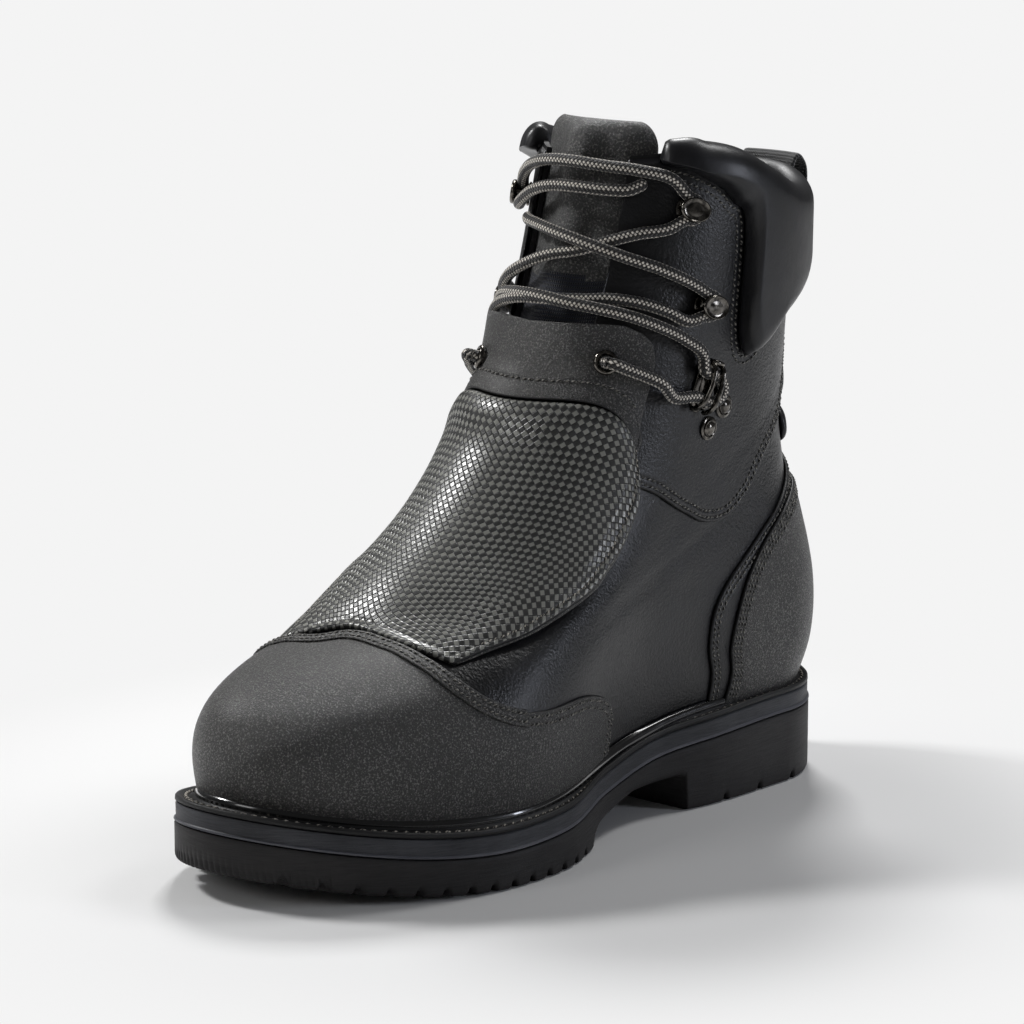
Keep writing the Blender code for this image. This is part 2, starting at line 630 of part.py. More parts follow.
def make_collar_pad(material):
    """Padded collar: outside the wall, over its top edge and a little way down the lining side."""
    turn = np.radians(np.array([42, 53, 64, 75, 84, 90, 95, 101, 112, 124, 138, 152, 166]))
    angle = np.concatenate([turn, [np.pi], (2 * np.pi - turn)[::-1]])
    from_front = np.degrees(np.pi - np.abs(np.pi - angle))
    low = smooth(from_front, column(PAD_EDGE, 0), column(PAD_EDGE, 1))
    top = collar_level(angle)
    base = OVERLAY + 3 * GAP
    rise = PAD_WRAP / UPPER_HEIGHT
    near_front = ease((from_front - 38) / 22)
    full = PAD_THICK * (0.45 + 0.55 * near_front)

    def level_of_share(share):
        return low + (top - low) * share

    loops = [
        skin(angle, level_of_share(0.0), base), skin(angle, level_of_share(0.02), base + 0.35 * full),
        skin(angle, level_of_share(0.12), base + 0.75 * full), skin(angle, level_of_share(0.35), base + full),
        skin(angle, level_of_share(0.65), base + full), skin(angle, level_of_share(0.88), base + 0.80 * full),
        skin(angle, top + 0.008, base + 0.45 * full), skin(angle, top + 0.014, 0.0),
        skin(angle, top + 0.006, -WALL - 0.25 * full), skin(angle, top - rise * 0.6, -WALL - 0.35 * full),
        skin(angle, top - rise, -WALL - GAP), skin(angle, top + 0.0035, -WALL - GAP),
        skin(angle, top + 0.0035, base), skin(angle, level_of_share(0.80), base),
        skin(angle, level_of_share(0.60), base), skin(angle, level_of_share(0.40), base),
        skin(angle, level_of_share(0.20), base),
    ]
    return sleeve("collar_pad", np.stack(loops, 1), material)


def make_back_rolls(material):
    """Two padded rolls across the back of the ankle."""
    rolls = []
    for name, low, high in (("back_roll_lower", 0.482, 0.548), ("back_roll_upper", 0.556, 0.640)):
        angle = np.radians(np.linspace(*ROLL_ENDS, 11))
        middle_angle = math.radians(sum(ROLL_ENDS) / 2)
        swing = ((angle - middle_angle) / (angle[-1] - middle_angle)) ** 2
        taper = np.sqrt(np.clip(1 - swing * 0.85, 0, 1))
        middle = (low + high) / 2 - 0.012 * swing
        half = (high - low) / 2 * (0.70 + 0.30 * taper)
        full = ROLL_THICK * taper
        loops = [
            skin(angle, middle - half, GAP), skin(angle, middle - 0.75 * half, GAP + 0.60 * full),
            skin(angle, middle - 0.3 * half, GAP + full), skin(angle, middle + 0.3 * half, GAP + full),
            skin(angle, middle + 0.75 * half, GAP + 0.60 * full), skin(angle, middle + half, GAP),
            skin(angle, middle, GAP),
        ]
        rolls.append(sleeve(name, np.stack(loops, 1), material))
    return rolls


def make_pull_loop(material):
    """Webbing strap sewn on above the back rolls: it rises past the pad and folds back down on itself."""
    seat = 2 * GAP + OVERLAY + WEBBING / 2
    pad_out = 2 * GAP + OVERLAY + PAD_THICK + GAP + WEBBING / 2 + 0.0002
    out = pad_out + WEBBING + LOOP_GAP
    over = seat + WEBBING + GAP
    path = np.array([
        (0.668, seat), (0.715, seat), (0.768, seat), (0.785, seat + 0.0024), (0.800, pad_out - 0.0034),
        (0.815, pad_out - 0.0010), (0.835, pad_out), (0.880, pad_out + 0.0002), (0.922, pad_out),
        (0.936, (pad_out + out) / 2), (0.922, out), (0.880, out + 0.0006), (0.840, out), (0.810, out - 0.0034),
        (0.788, over + 0.0052), (0.772, over + 0.0012), (0.758, over), (0.740, over),
    ])
    rise = UPPER_HEIGHT * 0.94
    flat = path * (rise, 1.0)
    ahead = np.gradient(flat, axis=0)
    ahead /= np.linalg.norm(ahead, axis=1, keepdims=True)
    across_path = np.stack([ahead[:, 1], -ahead[:, 0]], -1) * WEBBING / 2
    one = (flat + across_path) / (rise, 1.0)
    two = (flat - across_path) / (rise, 1.0)
    width = LOOP_WIDTH / 2 / (BACK_ROUND + path[:, 1:])
    angle = np.pi + width * np.linspace(-1, 1, 5)
    return slab("pull_loop", skin(angle, one[:, :1], one[:, 1:]), skin(angle, two[:, :1], two[:, 1:]), material)


def make_tongue(material):
    """Padded tongue under the throat, standing up above the collar."""
    level = np.linspace(0.455, 0.998, 14)[:, None]
    part = np.linspace(-1, 1, 11)[None, :]
    half = TONGUE_HALF * (0.80 + 0.20 * ease((level - 0.455) / 0.2))
    half = half * (1 - 0.24 * ease((level - 0.82) / 0.08))
    angle = np.sign(part) * angle_at(level * np.ones_like(part), half * np.abs(part))
    rise = ease((level - 0.53) / 0.06) * np.cos(np.clip(np.abs(part) / 0.46, 0, 1) * np.pi / 2) ** 2
    outer = skin(angle, level * np.ones_like(part), -WALL - 1.5 * GAP + TONGUE_BULGE * rise)
    inner = skin(angle, level * np.ones_like(part), -WALL - 1.5 * GAP - TONGUE_THICK)
    return slab("tongue", outer, inner, material)


def shield_top(part):
    """Level of the shield's upper edge, lower towards the sides."""
    return SHIELD_HIGH - SHIELD_HIGH_DROP * np.abs(part) ** 5


def make_shield(material):
    """Moulded metatarsal shield: a domed plate that starts at the toe cap and stands off the instep."""
    height = np.array([0, 0.03, 0.07, 0.12, 0.20, 0.30, 0.42, 0.55, 0.68, 0.79, 0.90, 1.0])[:, None]
    part = np.linspace(-1, 1, 15)[None, :]
    edge = np.radians(smooth(height, column(SHIELD_EDGE, 0), column(SHIELD_EDGE, 1)))
    stand = SHIELD_STAND * smooth(height, column(SHIELD_EDGE, 0), column(SHIELD_EDGE, 2))
    side = np.where(part < 0, INNER_SIDE_SHARE, 1.0)
    angle = part * edge * side
    low = SHIELD_LOW - SHIELD_LOW_DROP * part ** 2
    level = low + (shield_top(part) - low) * height
    thick = SHIELD_THICK * (0.38 + 0.62 * ease(height / 0.25)) * (1 - 0.45 * part ** 6)
    lift = np.where(part < 0, 0.0025, 0.0) * part ** 2 * ease(height / 0.3)
    stand = np.maximum(stand + lift, thick + 3 * GAP) + 0 * part
    return slab("guard_shield", skin(angle, level, stand), skin(angle, level, stand - thick), material)


def flap_stand(height):
    """Stand-off of the flap's outer face: the shield's at its foot, less at its top."""
    foot = SHIELD_STAND * 0.95
    return foot + (FLAP_STAND - foot) * ease(height / 0.5)


def make_flap(material):
    """Leather flap above the shield, with a hole on each side for an eyelet."""
    height = np.linspace(0, 1, 7)[:, None]
    part = np.linspace(-1, 1, 13)[None, :]
    edge = np.radians(smooth(height, column(FLAP_EDGE, 0), column(FLAP_EDGE, 1)))
    side = np.where(part < 0, INNER_SIDE_SHARE, 1.0)
    angle = part * edge * side
    low = shield_top(part) + SEAM_GAP / UPPER_HEIGHT
    level = low + (FLAP_TOP - low) * height
    stand = flap_stand(height) + np.where(part < 0, 0.0025, 0.0) * part ** 2
    flap = slab("guard_flap", skin(angle, level, stand), skin(angle, level, stand - FLAP_THICK), material)
    holes = []
    for name, level, degrees in GUARD_EYELETS:
        centre, normal, across, up = surface_frame(math.radians(degrees), level, flap_out(level, degrees))
        hole = EYELET_BORE + EYELET_WALL + 1.5 * GAP
        profile = ((hole, -2 * FLAP_THICK), (hole, 2 * FLAP_THICK))
        holes.append(turned("hole", profile, centre, normal, across, up, None))
    use_boolean(flap, join_cutters("eyelet_hole_cutter", holes), "DIFFERENCE")
    return flap


def flap_out(level, degrees):
    """Stand-off of the flap's outer face at an eyelet."""
    foot = SHIELD_HIGH + SEAM_GAP / UPPER_HEIGHT
    extra = 0.0025 * (degrees / (57 * INNER_SIDE_SHARE)) ** 2 if degrees < 0 else 0.0
    return float(flap_stand((level - foot) / (FLAP_TOP - foot))) + extra


def surface_frame(angle, level, stand):
    """A point off the surface, with its normal, the direction round the ring and the one up the ring."""
    centre = skin(angle, level, stand)
    normal = skin(angle, level, stand + 0.001) - centre
    normal /= np.linalg.norm(normal)
    up = upper_point(angle, level + 0.004) - upper_point(angle, level - 0.004)
    up -= normal * np.dot(up, normal)
    up /= np.linalg.norm(up)
    return centre, normal, np.cross(up, normal), up


def turned(name, profile, centre, normal, across, up, material, steps=8, closed=False):
    """A turned piece: (radius, height) pairs carried round the normal."""
    turns = np.linspace(0, 2 * np.pi, steps, endpoint=False)
    ring = np.cos(turns)[:, None] * across + np.sin(turns)[:, None] * up
    loops = np.array([centre + ring * radius + normal * height for radius, height in profile])
    return sleeve(name, loops, material, closed)


def make_hook(name, level, degrees, material):
    """Lacing hook: a spool with a foot, a neck that the lace goes round and a round head."""
    base = surface_frame(math.radians(degrees), level, OVERLAY + 2 * GAP)
    shares = (
        (1.00, 0.00), (0.90, 0.14), (0.38, 0.18), (0.38, 0.77), (0.92, 0.80), (1.00, 0.90), (0.75, 1.00),
    )
    profile = [(radius * HOOK_RADIUS, height * HOOK_HEIGHT) for radius, height in shares]
    return turned("hook_" + name, profile, *base, material)


def make_lock(name, level, degrees, material):
    """Locking hook: a flat metal bridge that the lace passes under, with two rivets below it."""
    side = -1 if degrees < 0 else 1
    centre, normal, across, up = surface_frame(math.radians(degrees), level, OVERLAY + 2 * GAP + 0.0002)
    long, high, thick = LOCK_INSIDE_HALF, LOCK_INSIDE_HIGH, LOCK_THICK
    outside = (
        (long + thick, 0), (long + thick, high * 0.75), (long * 0.75, high + 2 * thick),
        (-long * 0.75, high + 2 * thick), (-long - thick, high * 0.75), (-long - thick, 0),
    )
    inside = (
        (long, thick), (long, high * 0.75), (long * 0.70, high + thick), (-long * 0.70, high + thick),
        (-long, high * 0.75), (-long, thick),
    )
    loops = []
    for (out_up, out_high), (in_up, in_high) in zip(outside, inside):
        corners = []
        for share, (along, height) in ((-0.5, (out_up, out_high)), (0.5, (out_up, out_high)),
                                       (0.5, (in_up, in_high)), (-0.5, (in_up, in_high))):
            corners.append(centre + across * share * LOCK_WIDTH + up * along + normal * height)
        loops.append(corners)
    sleeve("lock_hook_" + name, np.array(loops), material, closed=True)
    for number, (back, drop) in enumerate(RIVETS[name], 1):
        foot, out, round_way, rise = surface_frame(
            math.radians(degrees + side * back), level - drop, OVERLAY + 2 * GAP)
        profile = [(RIVET_RADIUS * r, RIVET_HEIGHT * h) for r, h in ((1.0, 0.0), (0.95, 0.5), (0.55, 1.0))]
        turned("rivet_%s_%d" % (name, number), profile, foot, out, round_way, rise, material)


def make_eyelet(name, level, degrees, material):
    """Eyelet in the guard's flap: a flange on the leather and a barrel through it."""
    base = surface_frame(math.radians(degrees), level, flap_out(level, degrees))
    wall = EYELET_BORE + EYELET_WALL
    profile = (
        (EYELET_BORE, -FLAP_THICK), (wall, -FLAP_THICK), (wall, 2 * GAP), (EYELET_FLANGE, 2 * GAP),
        (EYELET_FLANGE * 0.93, 0.0014), (wall, 0.0017), (EYELET_BORE, 0.0012),
    )
    return turned("guard_eyelet_" + name, profile, *base, material, closed=True)


def lace_nodes(rows):
    """Points and outward normals along one bar of the lace."""
    degrees, level, stand = np.array(rows).T
    path = skin(np.radians(degrees), level, stand / 1000)
    out = skin(np.radians(degrees), level, stand / 1000 + 0.001) - path
    return list(zip(path, out / np.linalg.norm(out, axis=1, keepdims=True)))


def round_hook(name, turns):
    """Points where the lace goes round a hook's neck; turns are degrees from the way round the foot."""
    level, degrees = {row[0]: row[1:] for row in HOOKS}[name]
    centre, normal, across, up = surface_frame(math.radians(degrees), level, OVERLAY + 2 * GAP + LACE_ON_HOOK)
    nodes = []
    for turn in np.radians(turns):
        nodes.append((centre + LACE_OFF_AXIS * (math.cos(turn) * across + math.sin(turn) * up), normal))
    return nodes


def through_lock(name, shares):
    """Points where the lace passes under the locking hook; shares of its length and of its width."""
    level, degrees = {row[0]: row[1:] for row in LOCKS}[name]
    height = OVERLAY + 2 * GAP + 0.0002 + LOCK_THICK + LOCK_INSIDE_HIGH / 2 + 0.0001
    centre, normal, across, up = surface_frame(math.radians(degrees), level, height)
    return [(centre + up * along * LOCK_INSIDE_HALF + across * wide * LOCK_WIDTH, normal) for along, wide in shares]


def lace_tube(name, nodes, material):
    """A tube along the nodes, square to the surface at each one."""
    path = np.array([node[0] for node in nodes])
    normal = np.array([node[1] for node in nodes])
    ahead = np.gradient(path, axis=0)
    ahead /= np.linalg.norm(ahead, axis=1, keepdims=True)
    sideways = np.cross(ahead, normal)
    sideways /= np.linalg.norm(sideways, axis=1, keepdims=True)
    normal = np.cross(sideways, ahead)
    spin = np.linspace(0, 2 * np.pi, 6, endpoint=False)[None, :, None]
    loops = path[:, None] + LACE_RADIUS * (np.cos(spin) * normal[:, None] + np.sin(spin) * sideways[:, None])
    return sleeve(name, loops, material)


def make_lace(material):
    """The lace: two cords that cross on the tongue, joined where they touch."""
    name, level, degrees = GUARD_EYELETS[0]
    centre, normal, across, up = surface_frame(math.radians(degrees), level, flap_out(level, degrees))
    start = [(centre - normal * 0.002, across), (centre + normal * 0.0052, across + normal)]
    first = start + lace_nodes(EYELET_TO_LOCK)
    first += through_lock("outer", ((-0.62, -0.9), (-0.62, 0.5), (-0.40, 1.15), (0.0, 1.40), (0.40, 1.15),
                                    (0.62, 0.5), (0.62, -0.9)))
    first += lace_nodes(LOCK_TO_INNER_2) + round_hook("inner_2", (275, 235, 195, 155, 115))
    first += lace_nodes(INNER_2_TO_OUTER_1) + round_hook("outer_1", (-100, -60, -20, 20, 60, 95))
    first += lace_nodes(OUTER_1_TO_INNER_1) + round_hook("inner_1", (85, 125, 160, 195, 235, 275))
    first += lace_nodes(INNER_1_TO_END)
    second = through_lock("inner", ((0.45, -0.9), (0.45, 0.9))) + lace_nodes(LOCK_TO_OUTER_2)
    second += round_hook("outer_2", (-100, -60, -20, 20, 60, 100)) + lace_nodes(OUTER_2_TO_END)
    lace = lace_tube("lace", first, material)
    other = lace_tube("second_cord", second, None)
    use_boolean(lace, other, "UNION")
    return lace


def centre_on_floor():
    """Move every mesh so that the middle of the boot's box is at x = 0 and y = 0."""
    graph = bpy.context.evaluated_depsgraph_get()
    corners = np.array([corner for piece in parts.objects for corner in piece.evaluated_get(graph).bound_box])
    middle = (corners.min(axis=0) + corners.max(axis=0)) / 2
    for piece in list(parts.objects) + list(cutters.objects):
        for vertex in piece.data.vertices:
            vertex.co.x -= middle[0]
            vertex.co.y -= middle[1]


def build():
    """Make every piece."""
    clear_scene()
    rubber = finish("outsole_rubber", (0.024, 0.022, 0.022), 0.62)
    slate = finish("midsole_rubber", (0.050, 0.050, 0.058), 0.55)
    bead = finish("welt_rubber", (0.018, 0.018, 0.019), 0.35)
    leather = finish("black_leather", (0.013, 0.013, 0.015), 0.42)
    grained = finish("abrasion_leather", (0.040, 0.039, 0.038), 0.70)
    soft = finish("pad_leather", (0.016, 0.016, 0.019), 0.40)
    moulded = finish("shield_composite", (0.110, 0.108, 0.100), 0.55)
    webbing = finish("webbing", (0.014, 0.014, 0.015), 0.80)
    felt = finish("insole_felt", (0.030, 0.030, 0.032), 0.90)
    nickel = finish("dark_nickel", (0.32, 0.31, 0.30), 0.28, 1.0)
    cord = finish("lace_cord", (0.045, 0.040, 0.034), 0.75)
    make_outsole(rubber)
    sole_layer("midsole", lambda along: sole_top(along) - MIDSOLE_THICK, sole_top, slate)
    make_welt(bead)
    make_insole(felt)
    make_upper(leather)
    make_tongue(grained)
    over = GAP + OVERLAY
    make_overlay("toe_cap", (TOE_CAP_OUTER, TOE_CAP_INNER), GAP, over, grained, TOE_CAP_SLANT)
    make_overlay("counter_band", (BAND_OUTER, BAND_INNER), GAP, GAP + COUNTER_THICK, leather)
    make_overlay("counter", (COUNTER_OUTER, COUNTER_INNER),
                 2 * GAP + COUNTER_THICK, 2 * GAP + 2 * COUNTER_THICK, grained)
    for panel, outlines in (("eyestay_outer", (PANEL_OUTER, None)), ("eyestay_inner", (None, PANEL_INNER))):
        shell = make_overlay(panel, outlines, GAP, over, leather)
        use_boolean(shell, bpy.data.objects["throat_cutter"], "DIFFERENCE")
    make_collar_pad(soft)
    make_back_rolls(soft)
    make_pull_loop(webbing)
    make_shield(moulded)
    make_flap(grained)
    for hook in HOOKS:
        make_hook(*hook, nickel)
    for lock in LOCKS:
        make_lock(*lock, nickel)
    for eyelet in GUARD_EYELETS:
        make_eyelet(*eyelet, nickel)
    make_lace(cord)
    centre_on_floor()


build()
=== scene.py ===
"""Looks of the left metatarsal guard boot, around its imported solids.

The upper is one surface, upper_point(angle, level): a stack of rings from the sole to the collar.
Leather pieces, pads, the guard and the lace all lie on that surface, moved out along its normal.
All lengths are in metres, the toe points to -Y and +X is the outer side of the foot.
"""
import math

import bmesh
import bpy
import numpy as np
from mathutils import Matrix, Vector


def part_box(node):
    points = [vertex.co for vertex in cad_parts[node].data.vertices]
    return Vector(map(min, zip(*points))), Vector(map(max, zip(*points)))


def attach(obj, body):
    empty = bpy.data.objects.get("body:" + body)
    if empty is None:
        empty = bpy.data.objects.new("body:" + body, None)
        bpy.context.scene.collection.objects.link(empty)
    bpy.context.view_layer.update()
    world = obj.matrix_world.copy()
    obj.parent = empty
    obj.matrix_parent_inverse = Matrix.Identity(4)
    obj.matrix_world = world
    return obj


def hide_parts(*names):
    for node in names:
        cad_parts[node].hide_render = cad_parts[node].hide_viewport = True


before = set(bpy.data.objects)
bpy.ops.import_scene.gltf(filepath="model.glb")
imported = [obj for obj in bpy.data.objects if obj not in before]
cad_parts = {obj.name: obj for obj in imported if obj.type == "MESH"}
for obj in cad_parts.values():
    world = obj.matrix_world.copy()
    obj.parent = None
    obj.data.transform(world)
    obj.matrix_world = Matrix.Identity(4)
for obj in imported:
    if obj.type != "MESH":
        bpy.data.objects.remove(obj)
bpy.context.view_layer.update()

MM = 0.001

# Sole and upper sizes of the solids
SOLE_LENGTH = 0.308
BALL_WIDTH = 0.117
HEEL_ROUND = 0.042
TOE_ROUND = 0.092
HEEL_THICK = 0.036
FORE_THICK = 0.0225
MIDSOLE_THICK = 0.0075
TOE_SPRING = 0.011
SPRING_START = 0.215
HEEL_BREAST = 0.101
ARCH_END = 0.166
ARCH_HEIGHT = 0.0145
NOTCH_HALF = 0.0017
NOTCH_DEPTH = 0.0027
NOTCH_PITCH = 0.0093
HEEL_NOTCH_PITCH = 0.021
UPPER_HEIGHT = 0.228
WALL = 0.0020
GAP = 0.0003
BEAD_HEIGHT = 0.0050
BEAD_WIDTH = 0.0036
OVERLAY = 0.0015
COUNTER_THICK = 0.0013
PAD_THICK = 0.0085
PAD_WRAP = 0.010
ROLL_THICK = 0.0050
TONGUE_THICK = 0.0060
TONGUE_BULGE = 0.0040
TONGUE_HALF = 0.034
THROAT_HALF = 0.021
SHIELD_THICK = 0.0045
SHIELD_STAND = 0.0105
FLAP_THICK = 0.0028
FLAP_STAND = 0.0072
LOOP_WIDTH = 0.026
WEBBING = 0.0015
BACK_ROUND = 0.043
LOOP_GAP = 0.0052
LACE_LOOKS = 0.0023
HOOK_RADIUS = 0.0043
HOOK_HEIGHT = 0.0076
LACE_ON_HOOK = 0.0036
LACE_OFF_AXIS = 0.0042
LOCK_INSIDE_HALF = 0.0085
LOCK_INSIDE_HIGH = 0.0050
LOCK_THICK = 0.0013
LOCK_WIDTH = 0.0060
RIVET_RADIUS = 0.0030
RIVET_HEIGHT = 0.0016
EYELET_BORE = 0.0029
EYELET_FLANGE = 0.0048
WIRE_RADIUS = 0.0010
SEAT = OVERLAY + 2 * GAP

# Sizes only of the looks: level of the welt's bead, teeth under the toe, rows round the sole
BEAD_LEVEL = 0.0588 * 0.86
TOOTH_DEPTH = 0.0006
TOOTH_PITCH = 0.0026
ROUND_ROWS = 760
CLOTH_FRAMES = 9
FLOOR_HALF = 30.0

# Plan of the sole: along the length, half width, lean (shares of SOLE_LENGTH, BALL_WIDTH, BALL_WIDTH)
OUTLINE = (
    (0.00, 0.375, 0.000), (0.16, 0.385, 0.000), (0.28, 0.378, 0.005), (0.39, 0.328, 0.015),
    (0.49, 0.345, 0.040), (0.62, 0.465, 0.052), (0.73, 0.503, 0.022), (0.84, 0.505, -0.022),
    (0.93, 0.503, -0.075), (1.00, 0.500, -0.115),
)

# Rings of the upper: front along, front up, back along, back up, half widths at heel, waist and
# ball, reach of the back and front rounding, lean at the ball and at the tip (shares, as in OUTLINE)
RINGS = (
    (0.957, 0.000, 0.031, 0.000, 0.328, 0.275, 0.440, 0.120, 0.272, 0.045, -0.110),
    (0.961, 0.024, 0.025, 0.024, 0.336, 0.285, 0.450, 0.122, 0.272, 0.045, -0.110),
    (0.966, 0.072, 0.010, 0.075, 0.350, 0.305, 0.458, 0.125, 0.275, 0.042, -0.108),
    (0.961, 0.118, 0.002, 0.130, 0.352, 0.322, 0.450, 0.128, 0.278, 0.038, -0.106),
    (0.942, 0.162, 0.002, 0.190, 0.348, 0.332, 0.432, 0.130, 0.290, 0.033, -0.102),
    (0.905, 0.203, 0.010, 0.248, 0.340, 0.336, 0.410, 0.130, 0.310, 0.027, -0.096),
    (0.853, 0.238, 0.022, 0.306, 0.332, 0.335, 0.388, 0.130, 0.340, 0.020, -0.086),
    (0.790, 0.268, 0.033, 0.364, 0.325, 0.331, 0.370, 0.135, 0.365, 0.013, -0.072),
    (0.722, 0.303, 0.040, 0.422, 0.320, 0.326, 0.358, 0.140, 0.370, 0.008, -0.058),
    (0.655, 0.350, 0.044, 0.480, 0.318, 0.324, 0.350, 0.150, 0.355, 0.004, -0.044),
    (0.594, 0.412, 0.045, 0.540, 0.320, 0.326, 0.346, 0.158, 0.325, 0.000, -0.032),
    (0.542, 0.486, 0.044, 0.600, 0.327, 0.331, 0.344, 0.164, 0.285, 0.000, -0.022),
    (0.500, 0.567, 0.042, 0.662, 0.337, 0.338, 0.346, 0.168, 0.245, 0.000, -0.014),
    (0.466, 0.654, 0.041, 0.724, 0.347, 0.348, 0.352, 0.171, 0.212, 0.000, -0.008),
    (0.438, 0.748, 0.041, 0.786, 0.356, 0.358, 0.360, 0.173, 0.192, 0.000, -0.004),
    (0.412, 0.850, 0.042, 0.850, 0.362, 0.366, 0.368, 0.174, 0.180, 0.000, 0.000),
    (0.390, 0.950, 0.044, 0.910, 0.366, 0.370, 0.372, 0.172, 0.172, 0.000, 0.000),
    (0.374, 1.040, 0.048, 0.970, 0.366, 0.370, 0.372, 0.165, 0.165, 0.000, 0.000),
)

# Tables over the skin give degrees from the front line and the level
COLLAR_LINE = (
    (0, 0.955), (35, 0.962), (55, 0.968), (75, 0.962), (95, 0.938), (115, 0.912), (135, 0.905), (160, 0.918),
    (180, 0.922),
)
PAD_EDGE = (
    (40, 0.955), (60, 0.942), (78, 0.912), (88, 0.872), (94, 0.765), (99, 0.722), (115, 0.742), (135, 0.765),
    (158, 0.792), (180, 0.800),
)
TOE_CAP_EDGE = (
    (-93, 0.000), (-93, 0.060), (-88, 0.115), (-84, 0.155), (-77, 0.200), (-70, 0.228), (-58, 0.247), (-48, 0.268),
    (-42, 0.292), (-34, 0.338), (-25, 0.375), (-10, 0.410), (0, 0.430), (7, 0.432), (25, 0.405), (44, 0.330),
    (51, 0.285), (58, 0.240), (64, 0.212), (70, 0.200), (83, 0.188), (88, 0.165), (91, 0.135), (92, 0.090),
    (93, 0.000),
)
BAND_EDGE = (
    (119, 0.000), (118, 0.077), (115, 0.173), (115, 0.225), (126, 0.340), (146, 0.425), (176, 0.460), (184, 0.460),
    (206, 0.455), (224, 0.430), (242, 0.367), (250, 0.300), (254, 0.253), (256, 0.215), (254, 0.182), (246, 0.107),
    (237, 0.048), (232, 0.000),
)
COUNTER_EDGE = (
    (122, 0.000), (122, 0.077), (120, 0.160), (121, 0.225), (124, 0.288), (142, 0.398), (163, 0.413), (180, 0.413),
    (203, 0.405), (222, 0.383), (239, 0.318), (247, 0.265), (248, 0.217), (246, 0.168), (230, 0.055), (224, 0.000),
)
PANEL_OUTER_EDGE = (
    (16, 0.662), (40, 0.640), (60, 0.610), (80, 0.560), (98, 0.485), (108, 0.438), (115, 0.425), (122, 0.450),
    (128, 0.508), (142, 0.568), (147, 0.608), (150, 0.650), (156, 0.662), (180, 0.662),
)
PANEL_INNER_EDGE = (
    (-16, 0.662), (-42, 0.620), (-67, 0.555), (-85, 0.495), (-94, 0.478), (-101, 0.510), (-108, 0.555),
    (-126, 0.613), (-143, 0.650), (-156, 0.659), (-180, 0.662),
)
ROLLS = (("lower", 0.482, 0.548), ("upper", 0.556, 0.640))
ROLL_ENDS = (154, 217)

# Guard shield: share of its height, half angle in degrees, stand-off share
SHIELD_EDGE = (
    (0.00, 48.5, 0.17), (0.04, 54.5, 0.30), (0.07, 61.0, 0.42), (0.12, 66.0, 0.60), (0.20, 71.0, 0.82),
    (0.40, 73.5, 1.00), (0.58, 73.0, 1.00), (0.72, 71.5, 1.00), (0.85, 68.0, 1.00), (1.00, 61.5, 0.98),
)
SHIELD_LOW = 0.441
SHIELD_LOW_DROP = 0.117
SHIELD_HIGH = 0.724
SHIELD_HIGH_DROP = 0.085
INNER_SIDE_SHARE = 0.76
INNER_SIDE_LIFT = 0.0025
FLAP_EDGE = (
    (0.00, 60.5), (0.33, 58.0), (0.58, 57.0), (0.73, 55.5), (0.86, 51.0), (0.93, 45.0), (0.98, 35.0), (1.00, 22.0),
)
FLAP_TOP = 0.804
SEAM_GAP = 0.0018
SHIELD_SEAM = 0.0042
FLAP_SEAM = 0.0085

HOOKS = (
    ("outer_1", 0.907, 57), ("outer_2", 0.803, 73), ("inner_1", 0.907, -47), ("inner_2", 0.800, -54),
)
LOCKS = (("outer", 0.697, 83), ("inner", 0.690, -68))
# Rivets: degrees further back and levels lower than their locking hook
RIVETS = {"outer": ((15.5, 0.052), (11.0, 0.074)), "inner": ((2.0, 0.044), (11.0, 0.074))}
GUARD_EYELETS = (("outer", 0.762, 37), ("inner", 0.752, -29))

# Lace: degrees, level and stand-off in millimetres
EYELET_TO_LOCK = ((45, 0.752, 11.6), (52, 0.742, 10.4), (60, 0.727, 10.0), (68, 0.703, 7.0))
INNER_EYELET_TO_LOCK = ((-36, 0.742, 12.5), (-44, 0.732, 12.0), (-52, 0.716, 10.5), (-59, 0.697, 8.0))
LOCK_TO_INNER_2 = (
    (76, 0.743, 6.2), (66, 0.771, 6.2), (53, 0.794, 6.6), (40, 0.809, 7.6), (28, 0.817, 8.2), (16, 0.822, 8.4),
    (4, 0.826, 8.2), (-12, 0.826, 7.4), (-28, 0.819, 6.8), (-42, 0.800, 6.2),
)
INNER_2_TO_OUTER_1 = (
    (-44, 0.817, 5.9), (-30, 0.836, 5.6), (-14, 0.853, 5.0), (0, 0.864, 5.0), (14, 0.870, 5.0), (26, 0.878, 5.0),
    (38, 0.885, 5.2), (50, 0.889, 5.6),
)
OUTER_1_TO_INNER_1 = (
    (48, 0.937, 6.4), (34, 0.945, 6.2), (18, 0.948, 5.4), (2, 0.950, 5.4), (-14, 0.948, 5.4), (-28, 0.940, 5.6),
    (-40, 0.927, 5.8),
)
INNER_1_TO_END = ((-34, 0.904, 5.7), (-20, 0.918, 5.2), (-6, 0.925, 5.0), (8, 0.926, 5.0), (22, 0.925, 4.8),
                  (31, 0.926, 4.2), (38, 0.934, 3.0))
LOCK_TO_OUTER_2 = (
    (-58, 0.735, 7.0), (-47, 0.768, 7.4), (-38, 0.793, 7.6), (-26, 0.811, 7.6), (-10, 0.822, 7.4), (6, 0.825, 6.8),
    (20, 0.826, 5.4), (32, 0.826, 5.0), (44, 0.820, 5.2), (56, 0.807, 5.4), (66, 0.791, 5.6),
)
OUTER_2_TO_END = (
    (66, 0.828, 5.7), (52, 0.848, 6.0), (34, 0.864, 7.2), (20, 0.874, 8.0), (6, 0.882, 7.4), (-10, 0.888, 5.4),
    (-22, 0.890, 4.4), (-30, 0.891, 2.6),
)

